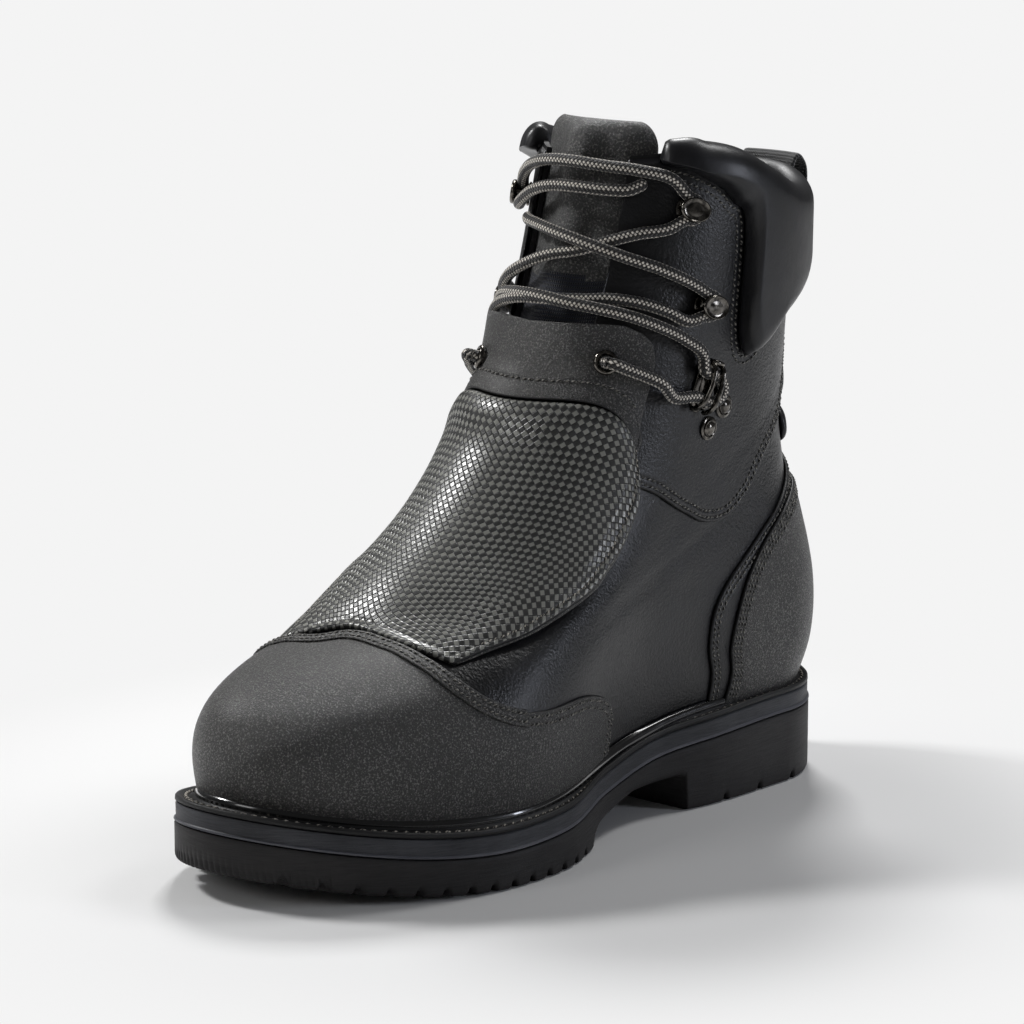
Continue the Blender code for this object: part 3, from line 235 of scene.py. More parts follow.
# Soft troughs of the smooth leather: degrees, level, half length in degrees, half height in levels,
# slope in levels per degree, depth in millimetres
CREASES = (
    (101, 0.380, 20, 0.020, 0.0030, 0.35), (93, 0.330, 16, 0.018, 0.0026, 0.25),
    (109, 0.300, 10, 0.020, -0.0030, 0.2), (-100, 0.390, 20, 0.020, -0.0030, 0.35),
    (-92, 0.335, 16, 0.018, -0.0026, 0.25), (136, 0.600, 12, 0.016, 0.0020, 0.2),
    (-132, 0.575, 12, 0.016, -0.0020, 0.2), (88, 0.640, 16, 0.018, -0.0012, 0.2),
    (112, 0.540, 14, 0.015, 0.0025, 0.2),
)


def smooth(at, xs, ys):
    """Cubic Hermite curve through the rows, with slopes from the neighbours, held level past the ends."""
    xs = np.asarray(xs, float)
    ys = np.asarray(ys, float)
    slope = np.gradient(ys, xs)
    at = np.clip(at, xs[0], xs[-1])
    i = np.clip(np.searchsorted(xs, at, side="right") - 1, 0, len(xs) - 2)
    step = xs[i + 1] - xs[i]
    u = (at - xs[i]) / step
    left = (2 * u ** 3 - 3 * u ** 2 + 1) * ys[i] + (u ** 3 - 2 * u ** 2 + u) * step * slope[i]
    right = (3 * u ** 2 - 2 * u ** 3) * ys[i + 1] + (u ** 3 - u ** 2) * step * slope[i + 1]
    return left + right


def column(table, k):
    """One column of a table."""
    return [row[k] for row in table]


def look_up(at, table, k=1):
    """Smooth curve through one column of a table over its first."""
    return smooth(at, column(table, 0), column(table, k))


def pairs(first, second):
    """Two grids side by side, such as the two lengths of a UV."""
    return np.stack(np.broadcast_arrays(first, second), -1)


def ease(u):
    """0 to 1 with level ends: three times the square less twice the cube."""
    u = np.clip(u, 0, 1)
    return u * u * (3 - 2 * u)


def end_round(distance, reach):
    """Quarter ellipse: 0 at an end, 1 from 'reach' on."""
    gap = np.clip(1 - distance / reach, 0, 1)
    return np.sqrt(np.clip(1 - gap ** 2, 0, 1))


def unit(vectors):
    """Vectors made one long."""
    return vectors / np.maximum(np.linalg.norm(vectors, axis=-1, keepdims=True), 1e-12)


def raw_outline(along, side, inset=0.0):
    """Distance of the sole's edge from the foot's axis: lean plus half width, rounded at both ends."""
    share = along / SOLE_LENGTH
    half, lean = look_up(share, OUTLINE) * BALL_WIDTH, look_up(share, OUTLINE, 2) * BALL_WIDTH
    back = end_round(along - inset, HEEL_ROUND - inset)
    front = end_round(SOLE_LENGTH - along - inset, TOE_ROUND - inset)
    return lean + side * (half - inset) * back * front


def middle_of_sole():
    """x of the middle between the sole's widest points."""
    along = np.linspace(0, SOLE_LENGTH, 400)
    return (raw_outline(along, 1).max() + raw_outline(along, -1).min()) / 2


CENTRE = middle_of_sole()
outsole_low, outsole_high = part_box("outsole")
MIDDLE = np.array([(outsole_low.x + outsole_high.x) / 2, (outsole_low.y + outsole_high.y) / 2, 0.0])


def ground_rise(along):
    """Height of the sole's underside: nil as far as SPRING_START, then a parabola to the toe."""
    run = np.clip((along - SPRING_START) / (SOLE_LENGTH - SPRING_START), 0, None)
    return TOE_SPRING * run ** 2


def sole_top(along):
    """Height of the midsole's top: level heel, a ramp at the shank, level toe, plus the spring."""
    drop = HEEL_THICK - FORE_THICK
    falls = smooth(along / SOLE_LENGTH, (0.0, 0.20, 0.33, 0.49, 0.65, 1.0), (0.0, 0.0, 0.19, 0.74, 1.0, 1.0))
    return HEEL_THICK - drop * falls + ground_rise(along)


def place(along, across, up):
    """Points in the frame from along (heel to toe), across (to the outer side) and up."""
    along, across, up = np.broadcast_arrays(along, across, up)
    return np.stack([across - CENTRE, SOLE_LENGTH / 2 - along, up], -1) + MIDDLE


def along_of(points):
    """How far points are from the heel."""
    return SOLE_LENGTH / 2 + MIDDLE[1] - points[..., 1]


def ring_values(level):
    """The eleven values of the ring at a level from 0 to 1."""
    knots = np.linspace(0, 1, len(RINGS))
    units = [SOLE_LENGTH, UPPER_HEIGHT, SOLE_LENGTH, UPPER_HEIGHT] + [BALL_WIDTH] * 3
    units += [SOLE_LENGTH] * 2 + [BALL_WIDTH] * 2
    return [smooth(level, knots, column(RINGS, k)) * unit_size for k, unit_size in enumerate(units)]


def upper_point(angle, level):
    """Outer face of the upper: a tilted ring at each level, rounded at its front and back."""
    angle, level = np.broadcast_arrays(np.asarray(angle, float), np.asarray(level, float))
    f_al, f_up, b_al, b_up, heel, waist, ball, b_round, f_round, lean_mid, lean_tip = ring_values(level)
    s = (1 + np.cos(angle)) / 2
    length = f_al - b_al
    half = heel + (waist - heel) * ease((s - 0.15) / 0.27) + (ball - waist) * ease((s - 0.42) / 0.30)
    rounds = end_round(s * length, b_round) * end_round((1 - s) * length, f_round)
    lean = lean_mid * np.exp(-((s - 0.60) / 0.20) ** 2) + lean_tip * np.clip((s - 0.55) / 0.45, 0, 1) ** 1.5
    along = b_al + s * length
    low = sole_top(b_al) + s * (sole_top(f_al) - sole_top(b_al))
    fade = np.clip(1 - level / 0.45, 0, 1) ** 1.5
    up = GAP + b_up + s * (f_up - b_up) + low + (sole_top(along) - low) * fade
    return place(along, lean + np.sign(np.sin(angle)) * half * rounds, up)


def steps_over_skin(angle, level):
    """Steps of the skin per radian and per level, by central differences."""
    tiny = 1e-3
    round_step = (upper_point(angle + tiny, level) - upper_point(angle - tiny, level)) / (2 * tiny)
    high, low = np.clip(level + tiny, 0, 1), np.clip(level - tiny, 0, 1)
    rise_step = (upper_point(angle, high) - upper_point(angle, low)) / (high - low)[..., None]
    return round_step, rise_step


def skin(angle, level, stand=0.0):
    """The upper's face moved out by 'stand' along its normal, the cross product of its two steps."""
    angle, level, stand = np.broadcast_arrays(
        np.asarray(angle, float), np.asarray(level, float), np.asarray(stand, float))
    normal = unit(np.cross(*steps_over_skin(angle, level)))
    return upper_point(angle, level) + normal * stand[..., None]


def standing(angle, level, stand):
    """Points off the upper's face, and the normals there."""
    points = skin(angle, level, stand)
    return points, unit(skin(angle, level, stand + MM) - points)


def creases(angle, level):
    """How far the soft troughs draw the leather in: Gaussian bells, long one way and short the other."""
    depth = 0.0
    for degrees, at_level, half_long, half_high, slope, deep in CREASES:
        away = (np.degrees(angle) - degrees + 180) % 360 - 180
        rise = level - at_level - slope * away
        depth = depth + deep * MM * np.exp(-(away / half_long) ** 2 - (rise / half_high) ** 2)
    return -depth


def collar_level(angle):
    """Level of the wall's top edge at an angle."""
    turn = np.degrees(np.abs((angle + np.pi) % (2 * np.pi) - np.pi))
    return look_up(turn, COLLAR_LINE)


def angle_at(level, across):
    """Angle on each ring where it is 'across' from its front line, read off a finely divided ring."""
    turns = np.linspace(0, 1.45, 120)
    line = upper_point(turns, np.ravel(level)[:, None])[..., 0]
    found = [np.interp(far, row - row[0], turns) for far, row in zip(np.ravel(across), line)]
    return np.reshape(found, np.shape(level))


def throat_half(level):
    """Half width of the throat: nil below level 0.496, then a rounded foot that widens upwards."""
    half = THROAT_HALF * (0.62 + 0.38 * ease((level - 0.50) / 0.25))
    return half * end_round(level - 0.496, 0.05)


def lengths(points, axis=-2):
    """Distance run along each line of points."""
    steps = np.linalg.norm(np.diff(points, axis=axis), axis=-1)
    start = np.zeros_like(np.take(steps, [0], axis=axis + 1))
    return np.concatenate([start, np.cumsum(steps, axis=axis + 1)], axis=axis + 1)


def evenly(curve, run, count):
    """A curve's points at even steps of the run along it."""
    at = np.linspace(0, run[-1], count)
    return np.stack([np.interp(at, run, curve[:, k]) for k in range(curve.shape[1])], -1)


def skin_curve(table, count):
    """A table of (degrees, level) rows as a curve over the skin, cubic by length and evenly stepped."""
    rows = np.array(table, float)
    rows[:, 0] = np.radians(rows[:, 0])
    knots = lengths(upper_point(rows[:, 0], rows[:, 1]))
    fine = np.linspace(0, knots[-1], 900)
    curve = np.stack([smooth(fine, knots, rows[:, 0]), smooth(fine, knots, rows[:, 1])], -1)
    return evenly(curve, lengths(upper_point(curve[:, 0], curve[:, 1])), count)


def inset(curve, distance):
    """The curve moved sideways over the skin: normal crossed with direction, solved in angle and level."""
    angle, level = curve[:, 0], curve[:, 1]
    ahead = unit(np.gradient(upper_point(angle, level), axis=0))
    by_angle, by_level = steps_over_skin(angle, level)
    sideways = np.cross(unit(np.cross(by_angle, by_level)), ahead)
    aa, ll, al = (by_angle ** 2).sum(-1), (by_level ** 2).sum(-1), (by_angle * by_level).sum(-1)
    sa, sl = (by_angle * sideways).sum(-1), (by_level * sideways).sum(-1)
    solved = np.stack([sa * ll - sl * al, sl * aa - sa * al], -1) / (aa * ll - al ** 2)[:, None]
    return curve + solved * np.reshape(distance, (-1, 1))


def through(points, count):
    """Catmull-Rom curve through the points, evenly stepped: each span is a cubic with its neighbours' slopes."""
    points = np.asarray(points, float)
    knots = lengths(points)
    fine = np.linspace(0, knots[-1], 12 * len(points))
    curve = np.stack([smooth(fine, knots, points[:, k]) for k in range(points.shape[1])], -1)
    return evenly(curve, lengths(curve), count)


def sheet(points, uv=None, finish=0, filled=0.0):
    """Quads between a grid's neighbours; several grids of one shape may be stacked. UV runs in metres."""
    rows, columns = points.shape[-3:-1]
    if uv is None:
        across = lengths(points, -2).mean(-2, keepdims=True)
        up = lengths(points, -3).mean(-1, keepdims=True)
        uv = pairs(across, up)
    number = np.arange(points.size // 3).reshape(-1, rows, columns)
    quads = np.stack([number[:, :-1, :-1], number[:, :-1, 1:], number[:, 1:, 1:], number[:, 1:, :-1]], -1)
    quads = quads.reshape(-1, 4)
    kind = np.broadcast_to(finish, number[:, :-1, :-1].shape).reshape(-1)
    soft = np.broadcast_to(filled, number.shape).reshape(-1)
    return points.reshape(-1, 3), quads, np.reshape(uv, (-1, 2))[quads], kind, soft


def piece(name, sheets, finishes, nodes, sharp=None):
    """One object from sheets: their points are welded where they meet and the faces turned outward."""
    starts = np.cumsum([0] + [len(s[0]) for s in sheets])
    quads = np.concatenate([s[1] + start for s, start in zip(sheets, starts)])
    points, uv, kind, soft = (np.concatenate([s[k] for s in sheets]).ravel() for k in (0, 2, 3, 4))
    mesh = bpy.data.meshes.new(name)
    mesh.vertices.add(len(points) // 3)
    mesh.loops.add(quads.size)
    mesh.polygons.add(len(quads))
    mesh.vertices.foreach_set("co", points.astype(np.float32))
    mesh.loops.foreach_set("vertex_index", quads.astype(np.int32).ravel())
    mesh.polygons.foreach_set("loop_start", np.arange(0, quads.size, 4, dtype=np.int32))
    mesh.polygons.foreach_set("material_index", kind.astype(np.int32))
    mesh.update(calc_edges=True)
    mesh.uv_layers.new(name="length").data.foreach_set("uv", uv.astype(np.float32))
    mesh.attributes.new("filled", "FLOAT", "POINT").data.foreach_set("value", soft.astype(np.float32))
    welded = bmesh.new()
    welded.from_mesh(mesh)
    bmesh.ops.remove_doubles(welded, verts=welded.verts, dist=4e-6)
    bmesh.ops.recalc_face_normals(welded, faces=welded.faces)
    welded.to_mesh(mesh)
    welded.free()
    mesh.shade_smooth()
    if sharp:
        mesh.set_sharp_from_angle(angle=math.radians(sharp))
    for finish in finishes:
        mesh.materials.append(finish)
    made = bpy.data.objects.new(name, mesh)
    bpy.context.scene.collection.objects.link(made)
    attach(made, "root")
    if nodes:
        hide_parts(*nodes)
    return made


def linear(code):
    """sRGB hex to linear colour: the standard curve, with its straight foot."""
    channels = np.array([int(code[i:i + 2], 16) for i in (1, 3, 5)]) / 255
    return (*np.where(channels <= 0.04045, channels / 12.92, ((channels + 0.055) / 1.055) ** 2.4), 1.0)


def add(look, kind, links=None, out=0, **settings):
    """One shader node of a material; links gives its inputs a value or an output. One output comes back."""
    tree = look.node_tree
    new = tree.nodes.new("ShaderNode" + kind)
    for name, value in settings.items():
        setattr(new, name, value)
    for socket, value in (links or {}).items():
        if isinstance(value, bpy.types.NodeSocket):
            tree.links.new(value, new.inputs[socket])
        else:
            new.inputs[socket].default_value = value
    return new.outputs[out]


def start_material(name, **constants):
    """A material; constants are set on its shader's own sockets."""
    look = bpy.data.materials.new(name)
    look.use_nodes = True
    for socket, value in constants.items():
        look.node_tree.nodes["Principled BSDF"].inputs[socket.replace("_", " ")].default_value = value
    return look


def dress(look, tone, stops, rough, *bumps):
    """Colours of sRGB codes along a tone, roughness over a pattern's range, and bumps one upon another."""
    colour = add(look, "ValToRGB", {0: tone})
    bands = colour.node.color_ramp.elements
    while len(bands) < len(stops):
        bands.new(0.5)
    for element, (place_at, code) in zip(bands, stops):
        element.position = place_at
        element.color = linear(code)
    outputs = {"Base Color": colour}
    if rough:
        outputs["Roughness"] = add(look, "MapRange", dict(enumerate(rough)))
    for height, strength, distance in bumps:
        links = {"Height": height, "Strength": strength, "Distance": distance}
        if "Normal" in outputs:
            links["Normal"] = outputs["Normal"]
        outputs["Normal"] = add(look, "Bump", links)
    for socket, output in outputs.items():
        look.node_tree.links.new(output, look.node_tree.nodes["Principled BSDF"].inputs[socket])
    return look


def clouded(name, scale, detail, stops, rough, bump, **constants):
    """A plain material: one noise pattern gives its colour, its bump and, unless it is constant, its roughness."""
    look = start_material(name, **constants)
    at = add(look, "TexCoord", out="Object")
    cloud = add(look, "TexNoise", {"Vector": at, "Scale": scale, "Detail": detail})
    return dress(look, cloud, stops, rough and (cloud, *rough), (cloud, *bump))


def full_grain_leather():
    """Waxed full-grain cowhide, smooth-plated: near black, a fine pebble 1.1 mm across, broad grey shine."""
    look = start_material("full_grain_leather_waxed", Coat_Weight=0.10, Coat_Roughness=0.30, Specular_IOR_Level=0.42)
    at = add(look, "TexCoord", out="Object")
    pebble = add(look, "TexVoronoi", {"Vector": at, "Scale": 900.0}, "Distance", feature="SMOOTH_F1")
    hide = add(look, "TexNoise", {"Vector": at, "Scale": 60.0, "Detail": 5.0})
    pore = add(look, "TexNoise", {"Vector": at, "Scale": 1500.0, "Detail": 2.0})
    both = add(look, "Math", {0: pebble, 1: pore}, operation="ADD")
    return dress(look, hide, ((0.30, "#0a0a0c"), (0.55, "#0f0f12"), (0.75, "#16161a")),
                 (hide, 0.3, 0.7, 0.31, 0.40), (both, 0.42, 0.00045), (hide, 0.30, 0.0014))


def abrasion_leather(name="scuff_resistant_leather", light="#72716e", mid="#272625", dark="#0b0b0b", scale=1500.0):
    """Coated split leather with a sandy grain about 0.7 mm across: charcoal with pale sparkling points."""
    look = start_material(name, Specular_IOR_Level=0.6, Coat_Weight=0.12, Coat_Roughness=0.42)
    at = add(look, "TexCoord", out="Object")
    sand = add(look, "TexNoise", {"Vector": at, "Scale": scale, "Detail": 3.0, "Roughness": 0.65})
    cloud = add(look, "TexNoise", {"Vector": at, "Scale": 45.0, "Detail": 3.0})
    shift = add(look, "Math", {0: cloud, 1: 0.06, 2: sand}, operation="MULTIPLY_ADD")
    return dress(look, shift, ((0.36, dark), (0.49, mid), (0.57, mid), (0.67, light)),
                 (sand, 0.35, 0.70, 0.54, 0.30), (sand, 1.0, 0.0008))


def pad_leather():
    """Soft plated nappa over foam: satin black, hardly any grain, wide soft highlights and faint puckers."""
    look = start_material("nappa_leather_satin", Coat_Weight=0.12, Coat_Roughness=0.28, Specular_IOR_Level=0.42)
    at = add(look, "TexCoord", out="Object")
    grain = add(look, "TexNoise", {"Vector": at, "Scale": 1300.0, "Detail": 3.0})
    pucker = add(look, "TexNoise", {"Vector": at, "Scale": 85.0, "Detail": 3.0})
    return dress(look, pucker, ((0.35, "#0f0f12"), (0.70, "#17171b")), (pucker, 0.3, 0.7, 0.36, 0.44),
                 (grain, 0.16, 0.0003), (pucker, 0.20, 0.0012))


def woven_composite(cell=0.0022):
    """Moulded polyurethane with a pressed basket weave, each float 2.2 mm and laid at 45 degrees, warp paler than
    weft; each float has painted highlight on its crown and painted shade at its edges.
    """
    look = start_material("moulded_weave_polyurethane", Specular_IOR_Level=0.7)
    at = add(look, "UVMap", uv_map="length")
    at = add(look, "VectorRotate", {"Vector": at, "Angle": math.radians(45)}, rotation_type="Z_AXIS")
    cells, places = [], []
    for axis in (0, 1):
        share = add(look, "SeparateXYZ", {0: at}, axis)
        share = add(look, "Math", {0: share, 1: cell}, operation="DIVIDE")
        cells.append(add(look, "Math", {0: share}, operation="FLOOR"))
        inside = add(look, "Math", {0: share}, operation="FRACT")
        away = add(look, "Math", {0: inside, 1: 0.5}, operation="SUBTRACT")
        places.append(add(look, "Math", {0: away}, operation="ABSOLUTE"))
    total = add(look, "Math", {0: cells[0], 1: cells[1]}, operation="ADD")
    warp = add(look, "Math", {0: total, 1: 2.0}, operation="FLOORED_MODULO")
    weft = add(look, "Math", {0: 1.0, 1: warp}, operation="SUBTRACT")
    float_crowns_and_painted_light = []
    for long_way, short_way, on_top in ((0, 1, warp), (1, 0, weft)):
        lengthwise = add(look, "MapRange", {0: places[long_way], 1: 0.38, 2: 0.51, 3: 1.0, 4: 0.1},
                         interpolation_type="SMOOTHSTEP")
        crosswise = add(look, "MapRange", {0: places[short_way], 1: 0.32, 2: 0.50, 3: 1.0, 4: 0.35},
                        interpolation_type="SMOOTHSTEP")
        crown = add(look, "Math", {0: lengthwise, 1: crosswise}, operation="MULTIPLY")
        float_crowns_and_painted_light.append(add(look, "Math", {0: crown, 1: on_top}, operation="MULTIPLY"))
    height = add(look, "Math", {0: float_crowns_and_painted_light[1], 1: 0.72, 2: float_crowns_and_painted_light[0]}, operation="MULTIPLY_ADD")
    objects = add(look, "TexCoord", out="Object")
    grit = add(look, "TexNoise", {"Vector": objects, "Scale": 1500.0, "Detail": 2.0})
    # Colour follows each float's crown: painted highlight on the crowns and painted shade in the gaps between them,
    # over warp paler than weft
    tone = add(look, "Math", {0: float_crowns_and_painted_light[1], 1: 0.30, 2: float_crowns_and_painted_light[0]}, operation="MULTIPLY_ADD")
    tone = add(look, "Math", {0: grit, 1: 0.22, 2: tone}, operation="MULTIPLY_ADD")
    return dress(look, tone, ((0.08, "#121212"), (0.42, "#272726"), (0.75, "#62625e"), (1.0, "#898983")),
                 (tone, 0.1, 1.1, 0.46, 0.28), (grit, 0.25, 0.0003), (height, 0.75, 0.0007))


def moulded_rubber(name, dark, light, roughness, streak):
    """Vulcanised rubber, its edge trimmed on a wheel: dull, with fine level streaks 0.4 mm apart."""
    look = start_material(name, Specular_IOR_Level=0.4)
    at = add(look, "TexCoord", out="Object")
    flat = add(look, "Mapping", {"Vector": at, "Scale": (1.0, 1.0, 22.0)})
    lines = add(look, "TexNoise", {"Vector": flat, "Scale": 110.0, "Detail": 4.0, "Roughness": 0.6})
    cloud = add(look, "TexNoise", {"Vector": at, "Scale": 35.0, "Detail": 4.0})
    grit = add(look, "TexNoise", {"Vector": at, "Scale": 1400.0, "Detail": 2.0})
    mixed = add(look, "Math", {0: cloud, 1: lines}, operation="ADD")
    half = add(look, "Math", {0: mixed, 1: 0.5}, operation="MULTIPLY")
    return dress(look, half, ((0.38, dark), (0.62, light)), (half, 0.35, 0.65, roughness, roughness - 0.10),
                 (grit, 0.25, 0.0003), (lines, streak, 0.0005))


def sewing_thread(name, dark, light):
    """Twisted polyester thread: two plies at 1 mm lay; its pale colour on the crests of the plies, broken into short
    flecks, is painted highlight.
    """
    look = start_material(name, Sheen_Weight=0.15, Roughness=0.55)
    at = add(look, "UVMap", uv_map="length")
    ply_and_painted_highlight = add(look, "TexWave", {"Vector": at, "Scale": 330.0, "Distortion": 0.4}, 1, bands_direction="DIAGONAL")
    objects = add(look, "TexCoord", out="Object")
    fleck = add(look, "TexNoise", {"Vector": objects, "Scale": 420.0, "Detail": 2.0})
    # Pale on the crests of the plies, broken by flecks: painted highlight, and in flecked thread also its pale
    # fibres
    both = add(look, "Math", {0: ply_and_painted_highlight, 1: fleck}, operation="MULTIPLY")
    return dress(look, both, ((0.12, dark), (0.45, light)), None, (ply_and_painted_highlight, 0.5, 0.0002))


def braided_cord(cell=0.0017):
    """Round braid of eight strands each way, polyester, each cell 1.7 mm: black, with long rows of pale tracer
    beads, each painted bright at its crown and dark in the grooves as painted highlight and shade.
    """
    look = start_material("braided_polyester_tracer", Sheen_Weight=0.2, Roughness=0.62)
    at = add(look, "UVMap", uv_map="length")
    around = add(look, "SeparateXYZ", {0: at}, 0)
    around = add(look, "Math", {0: around, 1: 2 * math.pi * LACE_LOOKS / 8}, operation="DIVIDE")
    ahead = add(look, "SeparateXYZ", {0: at}, 1)
    ahead = add(look, "Math", {0: ahead, 1: cell}, operation="DIVIDE")
    strands, bulges = [], []
    for way in ("ADD", "SUBTRACT"):
        lay = add(look, "Math", {0: ahead, 1: around}, operation=way)
        strands.append(add(look, "Math", {0: lay}, operation="FLOOR"))
        inside = add(look, "Math", {0: lay}, operation="FRACT")
        away = add(look, "Math", {0: inside, 1: 0.5}, operation="SUBTRACT")
        away = add(look, "Math", {0: away}, operation="ABSOLUTE")
        bulges.append(add(look, "MapRange", {0: away, 1: 0.15, 2: 0.5, 3: 1.0, 4: 0.0},
                          interpolation_type="SMOOTHSTEP"))
    height = add(look, "Math", {0: bulges[0], 1: bulges[1]}, operation="MULTIPLY")
    between = add(look, "Math", {0: strands[0], 1: strands[1]}, operation="SUBTRACT")
    turn_of = add(look, "Math", {0: between, 1: 4.0}, operation="FLOORED_MODULO")
    tracer = add(look, "Math", {0: turn_of, 1: 1.5}, operation="LESS_THAN")
    objects = add(look, "TexCoord", out="Object")
    fuzz = add(look, "TexNoise", {"Vector": objects, "Scale": 1600.0, "Detail": 2.0})
    # Pale tracer strands times the cell's bulge: tracer colour plus painted highlight on each crown and painted
    # shade in the grooves
    lit = add(look, "Math", {0: height, 1: tracer}, operation="MULTIPLY")
    tone = add(look, "Math", {0: lit, 1: fuzz}, operation="MULTIPLY")
    return dress(look, tone, ((0.03, "#191716"), (0.13, "#8f8375"), (0.33, "#ece6dc")), None, (height, 0.9, 0.0006))


def ribbed_webbing():
    """Woven polyester webbing: cross ribs 1.2 mm apart with warp lines, black and slightly hairy."""
    look = start_material("woven_polyester_webbing", Sheen_Weight=0.3, Roughness=0.7)
    at = add(look, "UVMap", uv_map="length")
    ribs = add(look, "TexWave", {"Vector": at, "Scale": 265.0}, 1, bands_direction="Y")
    warp = add(look, "TexWave", {"Vector": at, "Scale": 420.0}, 1, bands_direction="X")
    both = add(look, "Math", {0: ribs, 1: warp}, operation="MULTIPLY")
    return dress(look, both, ((0.0, "#0d0d0e"), (0.9, "#262628")), None, (both, 0.8, 0.0005))


def knit_lining(name="spacer_mesh_knit", cell=0.0024, dark="#0e0e10", light="#3a3a3d"):
    """Spacer mesh: round holes one cell apart in staggered rows, dark in the holes, grey yarn between."""
    look = start_material(name, Sheen_Weight=0.4, Sheen_Roughness=0.4, Roughness=0.85)
    at = add(look, "UVMap", uv_map="length")
    holes = add(look, "TexVoronoi", {"Vector": at, "Scale": 1 / cell, "Randomness": 0.12}, "Distance")
    yarn = add(look, "MapRange", {0: holes, 1: 0.18, 2: 0.42, 3: 0.0, 4: 1.0}, interpolation_type="SMOOTHSTEP")
    return dress(look, yarn, ((0.1, dark), (0.9, light)), None, (yarn, 0.8, 0.0006))


def pale_floor():
    """Painted studio floor: lit near the boot, and self-lit for the camera further off, so it stays even."""
    look = start_material("matt_white_paint", Base_Color=linear("#e4e4e4"), Roughness=0.9, Specular_IOR_Level=0.1)
    at = add(look, "TexCoord", out="Object")
    far = add(look, "VectorMath", {0: at}, "Value", operation="LENGTH")
    share = add(look, "MapRange", {0: far, 1: 0.15, 2: 0.29, 3: 0.0, 4: 1.0}, interpolation_type="SMOOTHSTEP")
    seen = add(look, "LightPath", out="Is Camera Ray")
    share = add(look, "Math", {0: share, 1: seen}, operation="MULTIPLY")
    glow = add(look, "Emission", {"Color": linear("#f4f4f4"), "Strength": 1.0})
    nodes = look.node_tree.nodes
    mix = add(look, "MixShader", {0: share, 1: nodes["Principled BSDF"].outputs[0], 2: glow})
    look.node_tree.links.new(mix, nodes["Material Output"].inputs["Surface"])
    return look


smooth_leather = full_grain_leather()
grained = abrasion_leather()
tongue_leather = abrasion_leather("tongue_split_leather", "#74736f", "#282828", "#0c0c0d", 1250.0)
pad_skin = pad_leather()
weave = woven_composite()
outsole_rubber = moulded_rubber("vulcanised_rubber_trimmed", "#131112", "#211f20", 0.66, 0.35)
slate_rubber = moulded_rubber("slate_rubber_trimmed", "#26272b", "#3a3b40", 0.62, 0.45)
parting_rubber = moulded_rubber("slate_rubber_edge", "#42434a", "#55565c", 0.50, 0.2)
welt_rubber = moulded_rubber("welt_rubber_matt", "#0b0b0c", "#131314", 0.60, 0.2)
# Extruded PVC storm bead, wiped shiny: black with a hard bright line and faint dust
bead_gloss = clouded("extruded_pvc_glossy", 120.0, 4.0, ((0.3, "#060607"), (0.8, "#0d0d0f")),
                     (0.3, 0.7, 0.16, 0.26), (0.08, 0.0005), Coat_Weight=0.8, Coat_Roughness=0.06)
# Black thread: its pale #85827b on the crests of the plies is painted highlight
black_thread = sewing_thread("polyester_thread_black", "#131312", "#85827b")
# Flecked thread: pale fibres in short flecks, also brightest on the crests of the plies as painted highlight
fleck_thread = sewing_thread("polyester_thread_flecked", "#1d1b19", "#b9b2a6")
cord = braided_cord()
# Gunmetal-plated steel, tumbled: dark grey metal, paler in random patches
metal = clouded("gunmetal_plated_steel", 500.0, 4.0, ((0.35, "#3a3836"), (0.62, "#76726c")),
                (0.3, 0.7, 0.10, 0.22), (0.10, 0.0002), Metallic=1.0)
webbing = ribbed_webbing()
lining = knit_lining()
tongue_mesh = knit_lining("tongue_mesh_knit", 0.0030, "#0b0b0d", "#444448")
foot_knit = knit_lining("tongue_foot_knit", 0.0008, "#0c0e13", "#242833")
insole_felt = knit_lining("foam_insole_fabric", 0.0016, "#161618", "#2b2b2e")
# Cut leather edge, dyed black and burnished: dark, with a low shine
cut_edge = clouded("dyed_cut_edge", 900.0, 3.0, ((0.3, "#0a0a0b"), (0.8, "#18181a")), None, (0.3, 0.0003),
                   Roughness=0.45)


def round_trip(walls):
    """Loops up the first wall, across the top, down the second wall and back across the bottom."""
    shares = np.linspace(0, 1, 9)[1:-1]
    top = [walls[0][-1] + (walls[1][-1] - walls[0][-1]) * share for share in shares]
    bottom = [walls[1][0] + (walls[0][0] - walls[1][0]) * share for share in shares]
    return np.stack(walls[0] + top + walls[1][::-1] + bottom + [walls[0][0]], 1)


def sole_layer(low, high, profile, serrated=False):
    """A layer of the sole: each row is a closed loop with the side profile at both edges.

    A profile point is its inset, its share of the layer's height and its rise. A row's place along
    follows a cosine, so that rows crowd at the heel and the toe, where both edges meet in a line.
    """
    turn = np.linspace(0, np.pi, ROUND_ROWS)
    walls = ([], [])
    for wall, side in zip(walls, (1, -1)):
        for inset_by, share, rise in profile:
            along = inset_by + (SOLE_LENGTH - 2 * inset_by) * (1 - np.cos(turn)) / 2
            bottom, top = low(along), high(along)
            point = place(along, raw_outline(along, side, inset_by), bottom + share * (top - bottom) + rise)
            if serrated and share < 0.12:
                tooth = TOOTH_DEPTH * np.clip(np.cos(2 * np.pi * lengths(point) / TOOTH_PITCH) + 0.2, 0, 1)
                at_toe = ease((along / SOLE_LENGTH - 0.90) / 0.04)
                inward = unit(place(0.72 * SOLE_LENGTH, 0.0, 0.0) * (1, 1, 0) - point * (1, 1, 0))
                point = point + inward * (tooth * at_toe)[:, None]
            wall.append(point)
    return round_trip(walls)


